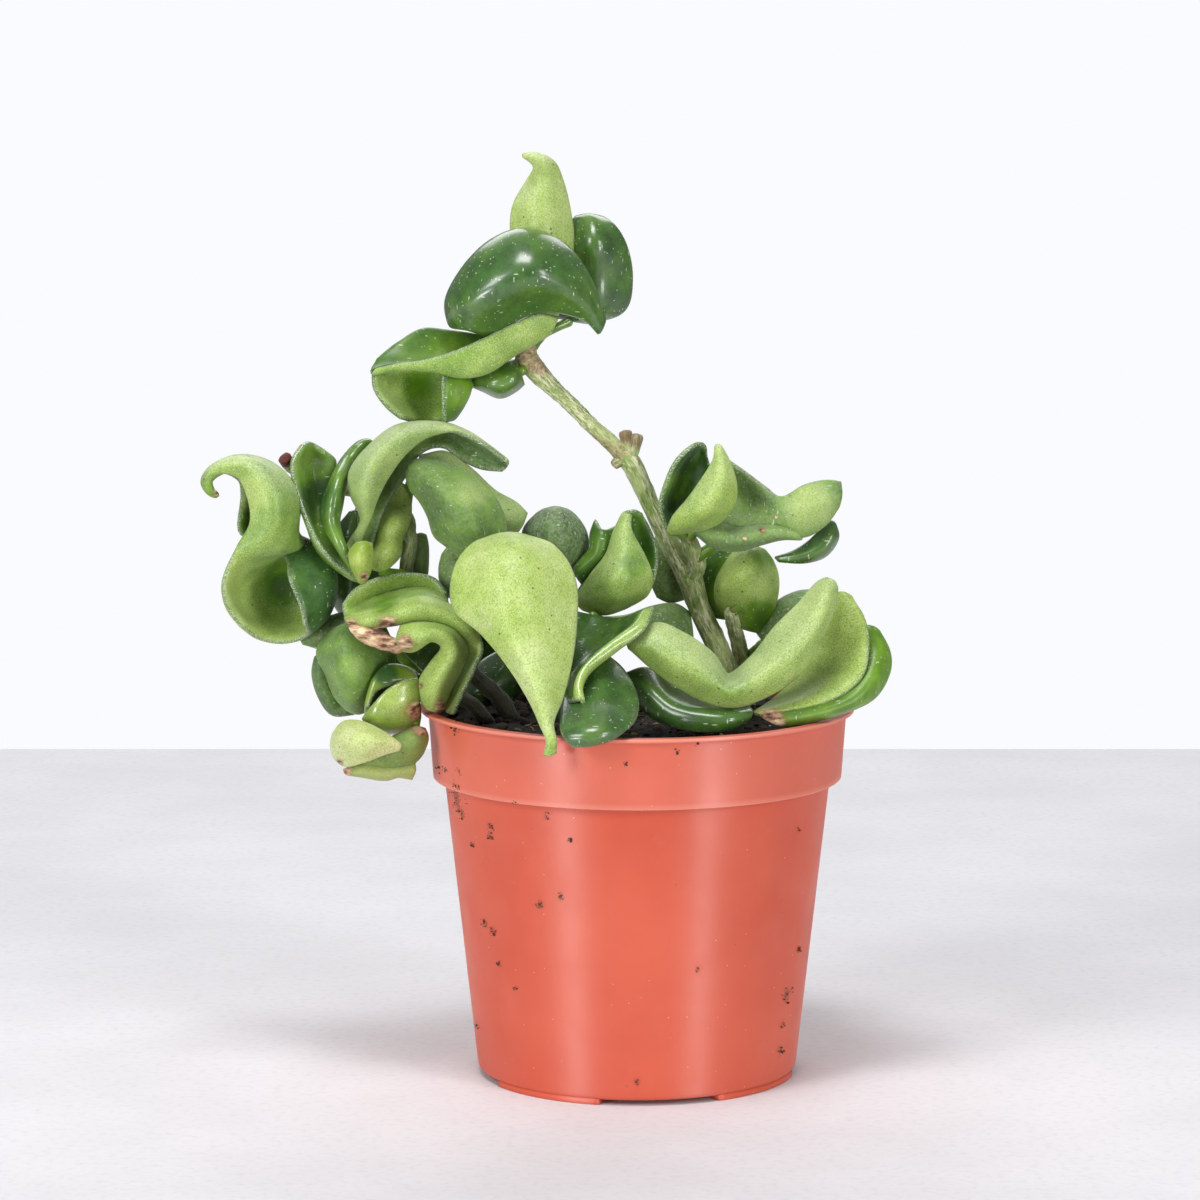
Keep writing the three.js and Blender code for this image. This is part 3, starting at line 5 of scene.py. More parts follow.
import bpy
import numpy as np
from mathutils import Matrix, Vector, noise


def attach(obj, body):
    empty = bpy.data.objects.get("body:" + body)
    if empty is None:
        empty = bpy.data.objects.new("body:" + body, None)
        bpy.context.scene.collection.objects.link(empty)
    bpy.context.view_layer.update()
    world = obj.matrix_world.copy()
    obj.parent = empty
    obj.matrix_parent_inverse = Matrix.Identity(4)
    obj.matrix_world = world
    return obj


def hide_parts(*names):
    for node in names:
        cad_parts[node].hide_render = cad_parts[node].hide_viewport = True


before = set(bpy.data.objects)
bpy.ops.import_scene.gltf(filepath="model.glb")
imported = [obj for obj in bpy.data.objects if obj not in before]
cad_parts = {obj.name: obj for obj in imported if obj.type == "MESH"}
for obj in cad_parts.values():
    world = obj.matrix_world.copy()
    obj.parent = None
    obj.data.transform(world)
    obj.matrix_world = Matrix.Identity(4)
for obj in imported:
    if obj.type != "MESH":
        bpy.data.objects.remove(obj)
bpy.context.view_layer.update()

MM = 0.001
UP = 1
DOWN = -1

# Pot, in millimetres
POT_HEIGHT = 102.8
LIP_RADIUS = 60
LIP_THICKNESS = 1
COLLAR_TOP_RADIUS = 57.8
COLLAR_FOOT_RADIUS = 56.5
COLLAR_FOOT_HEIGHT = 83.2
BODY_TOP_RADIUS = 53.4
BODY_FOOT_RADIUS = 44.8
WALL = 1.1
FLOOR_UNDERSIDE = 1.4
FLOOR_TOP = 2.8
FOOT_INNER_RADIUS = 37
FOOT_INSET = 0.6
FOOT_BEVEL = 0.25
FOOT_COUNT = 4
FOOT_SPAN = math.radians(46)
FIRST_FOOT_ANGLE = math.radians(-60)
REST_DISC_RADIUS = 16
DRAIN_HOLE_RADIUS = 3.2
DRAIN_HOLE_CIRCLE = 27
DRAIN_HOLE_COUNT = 6
POT_SIDES = 192
POT_STEP = 1.5
HUB_RADIUS = 0.4
SINK = 0.3

# Soil. Lengths are in millimetres, a bump has its width and its height, and a tone is how pale a crumb
# or a fibre is, from 0 to 1.
SOIL_LEVEL = 98.6
SOIL_GAP = 0.4
SOIL_SIDES = 300
SOIL_RINGS = 96
SOIL_FLAT_RIM = (52, 55.9)
SOIL_BUMPS = [(11, 1.0), (4, 0.75), (1.8, 0.5), (0.8, 0.22)]
CRUMB_SEED = 4
CRUMB_COUNT = 420
CRUMB_REACH = 54.5
SMALLEST_CRUMB = 0.35
CRUMB_RANGE = 1.5
PALE_CRUMB_SHARE = 0.1
PALE_CRUMB_SIZE = 0.6
PALE_CRUMB_TONES = (0.5, 1.0)
DARK_CRUMB_TONES = (0, 0.12)
FIBRE_SEED = 9
FIBRE_COUNT = 170
FIBRE_REACH = 52
FIBRE_STEPS = 5
FIBRE_STEP_LENGTHS = (0.6, 1.5)
FIBRE_CLIMBS = (-0.12, 0.2)
FIBRE_BEND = 0.7
FIBRE_RADII = (0.09, 0.2)
FIBRE_TONES = (0.15, 0.8)
FIBRE_ASIDE = [0.1, 0.2, 1]

# Grains of soil on the outside of the pot. How many lie round a spot, and how far from it, grows with
# the spot's spread.
GRAIN_SEED = 12
GRAINS_PER_SPOT = 10
GRAINS_PER_SPREAD = 12
GRAIN_REACH = 1.6
SPOT_HEIGHT_SHARE = 1.3
SMALLEST_GRAIN = 0.1
GRAIN_RANGE = 0.4
GRAIN_TONES = (0, 0, 0.1, 0.25)

# Camera that saw the plant. Its place and the width of its sensor are in millimetres, and its focal
# length is a share of that width.
VIEWPOINT = np.array([-10.3, -1200.0, 291.0])
CAMERA_PITCH = math.radians(7.55)
FOCAL_SHARE = 4389 / 1200
SENSOR_WIDTH = 36

# Leaves and stems, in millimetres. A wave and a bump have their width and their height. A rise begins
# and ends that far from a blade's margin. The length of a rod's rounded end is a share of its radius.
LEAF_HALF_THICKNESS = 1.05
MARGIN_HALF_THICKNESS = 0.22
MARGIN_ROUNDING = 2.2
PALE_MARGIN_WIDTH = 0.42
RIB_WIDTH = 0.9
BLADE_WAVES = [(14, 0.3), (4.5, 0.08)]
BLADE_WAVE_RISE = (0.3, 5)
RIB_RISE = (1, 4)
PETIOLE_RADIUS = 1.3
PETIOLE_FOOT_RADIUS = 1.25 * PETIOLE_RADIUS
PETIOLE_SIDES = 16
PETIOLE_STEP = 0.7
PETIOLE_ROUGHNESS = 0.08
STEM_SIDES = 28
STEM_STEP = 0.6
STEM_ROUGHNESS = 0.22
ROD_BUMPS = [(1.6, 1), (0.7, 0.6)]
ROD_END_LENGTH = 0.6
ROD_END_CLOSING = 0.98
ROD_ASIDE = [0.31, 0.84, 0.44]
RED_TIP_REACH = (5, 3)
GRAIN_LINE_RADIUS = 2.5
GRAIN_LINE_SHIFT = 10

# How many rows and columns of points a blade has for each step of its net, the most rows, and the
# fewest columns
FINE_ROWS = 9
MOST_ROWS = 72
FINE_COLUMNS = 8
FEWEST_COLUMNS = 20

# Heights between which the bark on the stems thickens, the top node begins, and the painted shade on
# the low stems ends
BARK_RISE = (105, 165)
TOP_NODE_RISE = (191, 196)
SHADE_END = (132, 150)

# How each leaf looks, for all of its blades or one by one. Upper and under give the tone of those sides:
# 0 dark, 1 mid green, 2 pale, 3 cream. A pair is for its base and its tip. Young is yellowing, wither is
# drying, felt_and_sheen is pale hair laid on where the underside faces up, partly painted sheen of the light
# from above, and rim is the width in millimetres of a lighter band along the last margin.
LEAF_TONES = {
    "dark": {"upper": 0.15, "under": 1.3, "dust": 0.1},
    "light": {"upper": 0.7, "under": 1.7},
    "dusty": {"upper": 0.6, "under": 1.0, "dust": 0.7},
    "top_dome": {"upper": 0.22, "under": 1.5},
    "top_long": {"upper": 0.35, "under": 1.5, "dust": 0.1},
    "top_cup": {"upper": 0.35, "under": 1.3},
    "top_curl": {"upper": 0.3, "under": 0.9},
    "top_hook": {"upper": 0.9, "under": (1.75, 2.4), "dust": 0.1, "felt_and_sheen": 0.6},
    "top_lobe": {"upper": 0.25, "under": 1.2},
    "left_hooked": {"upper": 0.0, "under": (1.45, 1.3), "dust": 0.12, "felt_and_sheen": (0, 0.7)},
    "left_boat": {"upper": 0.6, "under": 1.3},
    "left_arching": {"upper": (0.6, 0.3), "under": 1.6, "dust": 0.5, "felt_and_sheen": 0.35},
    "left_bud": {"upper": 1.35, "under": 1.35, "young": 0.25},
    "left_yellow": {"upper": 1.9, "under": 1.9, "young": 0.1},
    "left_dusty": {"upper": 0.6, "under": 0.9, "dust": 0.5},
    "left_strip": {"upper": 1.5, "under": 1.5, "dust": 0.7},
    "left_small": {"upper": 1.3, "under": 1.3, "dust": 0.9},
    "rolled_over_rim": [
        # The first blade's upper side is set pale: painted light in the hollow of the roll.
        {"upper": 1.5, "under": 0.5},
        {"upper": 0.5, "under": 1.7},
        {"upper": 0.6, "under": 1.75},
        {"upper": 0.9, "under": 1.2, "wither": 0.9},
    ],
    "low_round": [{"upper": 0.75, "under": 0.8, "dust": 0.4}, {"upper": 0.3, "under": 0.5, "dust": 0.35}],
    "low_glossy": {"upper": 0.1, "under": 1.3, "young": 0.2},
    "low_folded_end": {"upper": 2.6, "under": 2.6, "young": 0.15},
    "low_brown": [
        {"upper": 1.2, "under": 1.3, "dust": 0.4, "wither": 0.3},
        {"upper": 1.5, "under": 1.5, "young": 0.45},
    ],
    "centre_large": {"upper": 1.0, "under": (2.4, 2.3)},
    # centre_round's upper side is set below the darkest tone: painted shade.
    "centre_round": {"upper": -0.1, "under": 1.2, "dust": 0.12},
    "centre_lime_edge": {"upper": 0.15, "under": 1.4, "rim": 2.4},
    "centre_twisted": [{"upper": 0.4, "under": 1.5, "felt_and_sheen": 0.2}, {"upper": 0.3, "under": 1.4, "felt_and_sheen": 0.2}],
    "centre_dusty": {"upper": 0.15, "under": 0.4, "dust": 0.75},
    "right_vee": {"upper": 0.6, "under": 1.55, "dust": 0.1, "felt_and_sheen": 0.35},
    "right_cupped": [{"upper": 0.6, "under": 1.75}, {"upper": 0.7, "under": 1.0}],
    "right_low_glossy": {"upper": 0.15, "under": 1.2},
    "right_round": [{"upper": 0.6, "under": 1.85}, {"upper": 0.3, "under": 0.8}],
    "right_grey": {"upper": 0.4, "under": 0.5, "dust": 0.6},
    "branch_upright": [{"upper": 0.15, "under": 1.2}, {"upper": 0.4, "under": 1.75, "felt_and_sheen": 0.3}],
    "branch_long": [
        {"upper": 0.4, "under": (0.8, 2.2), "dust": 0.6, "felt_and_sheen": (0.3, 0.9)},
        {"upper": 0.6, "under": 1.1},
    ],
    "branch_small": {"upper": 0.2, "under": 0.6},
}
PLAIN_TONES = {"young": 0, "dust": 0, "wither": 0, "rim": 0, "felt_and_sheen": 0}

# Dry brown places on the leaves: across and up as seen from the viewpoint, and how far they spread
DRY_SPOTS = {
    "rolled_over_rim": [(-79, 124, 3.5), (-69, 124.5, 4), (-64, 120, 3), (-54.5, 102.5, 2), (-60, 108, 1)],
    "low_brown": [(-80, 93.5, 3), (-63, 103, 5), (-68, 99, 2), (-81, 84.3, 2.5), (-60, 96, 3)],
    "low_glossy": [(-60.5, 101, 4)],
    "low_folded_end": [(-82.5, 86.5, 1.2)],
    "right_vee": [(45, 108, 3.2), (41, 103, 2.5)],
    "right_cupped": [(37, 98, 5)],
    "branch_long": [(29.5, 149, 0.9), (34.3, 151.3, 1.3), (38, 155, 0.7)],
    "left_hooked": [(-114.6, 161.5, 2.4)],
    "left_bud": [(-75.2, 138.5, 1.6)],
    "top_dome": [(-8.5, 206.3, 1.2)],
    "centre_large": [(-28.5, 89.5, 1.6)],
}

# Places where a leaf is lighter or darker: across and up as seen from the viewpoint, spread, and tone.
# Many are painted light and shade: dark tones for the shade in hollows, folds and shaded parts, and pale
# tones for highlights and for light in hollows. The rest are the leaf's own paler or darker patches.
LIGHT_SHADE_AND_TONE_SPOTS = {
    "left_hooked": [
        (-109, 150, 5, 1.2), (-113, 140, 6, 2.1), (-110, 128, 8, 2.0), (-100, 121, 7, 2.0),
        (-98, 136, 4.8, 0.15), (-107, 161, 5, 2.3), (-112, 169, 6, 1.6), (-115.5, 163, 3, 1.0),
    ],
    "left_boat": [(-90, 170, 6, 1.2), (-88, 160, 6, 0.15)],
    "left_arching": [(-60, 178, 6, 1.35)],
    "left_dusty": [(-45, 162, 6, 1.6), (-54, 153, 4, 0.5)],
    "left_bud": [(-77.5, 143, 1.5, 1.9)],
    "top_cup": [(-68, 190, 5, 1.9), (-60, 183, 5, 1.7), (-60, 191, 4, 0.9), (-49, 189, 4, 1.2)],
    "top_long": [(-35, 199, 6, 1.4), (-52, 197, 7, 1.45), (-29, 204, 4, 1.9)],
    "rolled_over_rim": [(-75, 134, 6, 1.75), (-70, 131, 3.5, 1.0)],
    "low_glossy": [(-69.5, 111.5, 4, 0.0), (-66, 104, 4, 1.5)],
    "low_round": [(-82, 125, 4, 0.5), (-77, 112, 5, 1.3)],
    "right_round": [(30, 139, 6, 2.0), (25, 131, 5, 1.9), (35, 144, 4, 1.1), (34, 127, 5, 0.3)],
    "right_vee": [(27, 108, 4, 1.1), (45, 125, 10, 1.7)],
    "centre_large": [
        (-34, 134, 15, 2.2), (-52, 135, 5, 1.45), (-40, 119, 5, 1.9),
        (-24, 90, 3.2, 1.5), (-30, 150.5, 1.8, 1.5),
    ],
    "centre_round": [(-12, 95, 5, 0.2)],
    "centre_lime_edge": [(-15, 108, 5, 0.9), (-20, 118, 6, 0.05)],
    "centre_twisted": [(-1, 142, 3, 0.5)],
    "branch_long": [(47, 158, 8, 2.1), (27, 158, 8, 0.85)],
    "branch_upright": [(11, 163, 4, 1.0)],
}

# Lumps of soil on the outside of the pot: across, height and spread, in millimetres
POT_DIRT = [
    (-49.5, 80, 2.0), (-48, 76, 1.0), (-49.5, 85, 0.8), (-48.5, 89, 0.6), (-52.5, 88, 0.6),
    (-49.5, 101, 0.9), (-54.5, 88, 0.8), (-40, 75, 0.9), (-40, 72, 0.6), (-33.5, 83, 0.5),
    (-24.5, 80, 0.6), (-42, 47, 0.7), (-39.5, 45, 0.7), (-45, 68, 0.5), (-26.5, 55, 0.8), (-21, 58, 0.7),
    (-18.5, 74, 0.4), (-38, 36, 0.5), (-33.5, 30, 0.4), (16, 38, 0.4), (10, 99, 0.5), (-3.5, 96, 0.4),
    (15.5, 101, 0.5), (43.5, 73, 0.4), (44.5, 38, 0.5), (41, 26, 1.2), (40, 18, 0.6), (39.5, 10, 0.8),
    (-44.5, 15, 0.5), (-0.5, 7, 0.4),
]

# How red the tip of each rod of a stem is, and the stems that are painted dark near the soil as shade
RED_TIPS = {"stem_main": [0, 0, 0.7, 0.6, 0.3], "stem_left": [0.95]}
SHADED_STEMS = ("stem_left", "stem_low_left", "stem_centre", "stem_inner", "stem_back")

# Tabletop, in metres
TABLE_REACH = 3
TABLE_END = 0.54

# Lights: name, place, target, size and power, in metres and watts
MIDDLE = (0, 0, 0.1)
POT_MIDDLE = (0, 0, 0.08)
LIGHTS = [
    ("left_window", (-1.0, -1.0, 0.85), MIDDLE, (0.45, 0.55), 9.5),
    ("left_panel", (-0.98, -1.1, 0.13), POT_MIDDLE, (0.3, 0.24), 5.5),
    ("right_window", (1.03, -1.1, 0.7), MIDDLE, (0.3, 0.5), 6.5),
    ("right_panel", (0.95, -1.12, 0.13), POT_MIDDLE, (0.2, 0.24), 4.5),
    ("overhead", (-0.12, -0.4, 1.35), MIDDLE, (0.5, 0.4), 9.5),
    ("back_wash", (0, 1.3, 1.3), (0, 0.4, 0), (2.0, 0.8), 16),
]

# The leaves and stems are placed by points [X, Z, depth]. X and Z give the place where a point is seen
# from the viewpoint, in the upright plane through the pot's axis. The depth is its real distance behind
# that plane. A leaf has a name, a kind, the points of its stalk, the row and column of the first blade's
# net that the stalk meets, and its blades. A blade has UP where its upper side looks along the net's
# normal, or else DOWN, and the net, whose rows follow one another along it. A stem has rods, each with its
# line and its radii.
TOP_LEAVES = [
    ("top_dome", "dark", [(-30, 203, 0), (-35, 206.5, 1)], (0, 3), [(DOWN, [
        [(-42, 205, -8), (-46.5, 206.3, -10.5), (-50.8, 207, -5), (-48.5, 208.5, 2)],
        [(-38, 206, -9), (-45, 213, -15), (-51.7, 215, -5), (-48, 216, 3)],
        [(-33, 209, -9), (-36.5, 219, -18), (-42.5, 228.2, -6), (-38, 227, 4)],
        [(-27, 211.3, -9), (-28, 221.5, -18), (-31, 233.3, -6), (-29, 231, 4)],
        [(-21, 211, -8), (-21, 219, -15), (-21, 229.7, -6), (-21, 227, 2)],
        [(-14.5, 209, -7), (-14, 213, -10), (-13.5, 220.3, -6), (-15, 219, -1)],
        [(-10.6, 205.4, -6), (-10.2, 205.6, -6.5), (-9.2, 207.5, -6), (-9, 209.5, -4.5)],
    ])]),
    ("top_long", "light", [(-30, 202.5, 0), (-27, 205, 0.5)], (0, 2), [(UP, [
        [(-21.5, 210, -5), (-23.5, 206.3, -5), (-24, 207, -2), (-24, 209, -1)],
        [(-27, 211, -8.5), (-28, 204, -6.5), (-29, 203.5, -2), (-29, 206.5, 0)],
        [(-33, 208.7, -10), (-33, 201.3, -8.5), (-34.5, 200.5, -3), (-35, 205, 1)],
        [(-41, 204.8, -11), (-41, 195.9, -9.5), (-43, 197, -2), (-44, 205.5, 2)],
        [(-50, 200.8, -12), (-48, 194.4, -10.5), (-50, 198, -3), (-52, 206.5, 1)],
        [(-58, 198.4, -13), (-57, 196, -12.5), (-58, 200, -6), (-59, 206.9, -2)],
        [(-66, 197.3, -14), (-66, 196.2, -14), (-66, 198.5, -10), (-65.5, 203.2, -6)],
        [(-71.5, 195.8, -13), (-73, 194.7, -13), (-73, 195.5, -11), (-71.5, 198.3, -9)],
    ])]),
    ("top_cup", "light", [(-30.5, 196, 2), (-38, 197, 7), (-45, 194, 4)], (1, 3), [(UP, [
        [(-72.5, 195, -12), (-66, 195.5, 0), (-56, 195.5, 5), (-47, 195, -3), (-53.5, 194, -11)],
        [(-72, 190.5, -13), (-66, 190, 0), (-56, 190, 4), (-46.4, 190.7, -5), (-53.6, 190, -12)],
        [(-68.7, 185.5, -12), (-63, 185.5, -1), (-56, 185.5, 2), (-48.3, 186, -5), (-53.4, 185.5, -12)],
        [(-64.5, 182.3, -10), (-60, 181, -3), (-55.5, 181, -1), (-51.2, 181.6, -5), (-53.2, 181, -10)],
    ])]),
    ("top_curl", "dark", [(-30.5, 197, 0), (-31.5, 196, -2)], (0, 1), [(DOWN, [
        [(-33.5, 198.3, -1), (-32, 194.5, -4), (-31, 191.8, -1)],
        [(-36, 198, -1), (-35, 192.5, -7), (-33.5, 189.8, -1)],
        [(-40, 197, -1), (-39, 191.5, -7), (-37.5, 188, -1)],
        [(-43.5, 195, -1), (-43, 192, -4), (-42, 189.8, -1)],
        [(-46, 192.5, -1), (-46, 192, -1.6), (-45.7, 191.3, -1)],
    ])]),
    ("top_hook", "light", [(-30, 202, 1), (-28, 206, 5)], (0, 1), [(UP, [
        [(-22, 210, 8), (-26, 210, 4), (-30, 210, 8)],
        [(-18.5, 219, 9), (-26, 219, 3.5), (-33.5, 219, 9)],
        [(-17.2, 229, 9), (-26, 229, 3), (-34.7, 230, 9)],
        [(-18.3, 239, 9), (-26.5, 240, 3), (-34.2, 240, 9)],
        [(-20.3, 247, 8), (-25.5, 248, 3.5), (-30.3, 247, 8)],
        [(-22.5, 252, 5), (-26, 252, 2), (-28.5, 250.7, 5)],
        [(-27, 254.5, 3), (-28, 253.6, 1.7), (-29.4, 252.2, 3)],
        [(-31.3, 254.5, 2), (-31.5, 254.1, 1.8), (-31.4, 253.6, 2)],
    ])]),
    ("top_lobe", "dark", [(-29.5, 201, 2), (-25.5, 205.5, 8)], (0, 1), [(UP, [
        [(-22, 209.5, 15), (-18, 209, 12), (-14, 208.5, 15)],
        [(-22, 214, 16), (-13, 213, 7), (-3.3, 212, 13)],
        [(-21, 222, 17), (-12, 222, 6), (-1.4, 221, 13)],
        [(-20, 230, 14), (-12, 230, 4), (-3.2, 230, 12)],
        [(-18, 236, 14), (-12.5, 236, 8), (-6.5, 235, 12)],
        [(-16.5, 237.6, 14), (-13.5, 237.8, 12), (-10, 237.2, 13)],
    ])]),
]

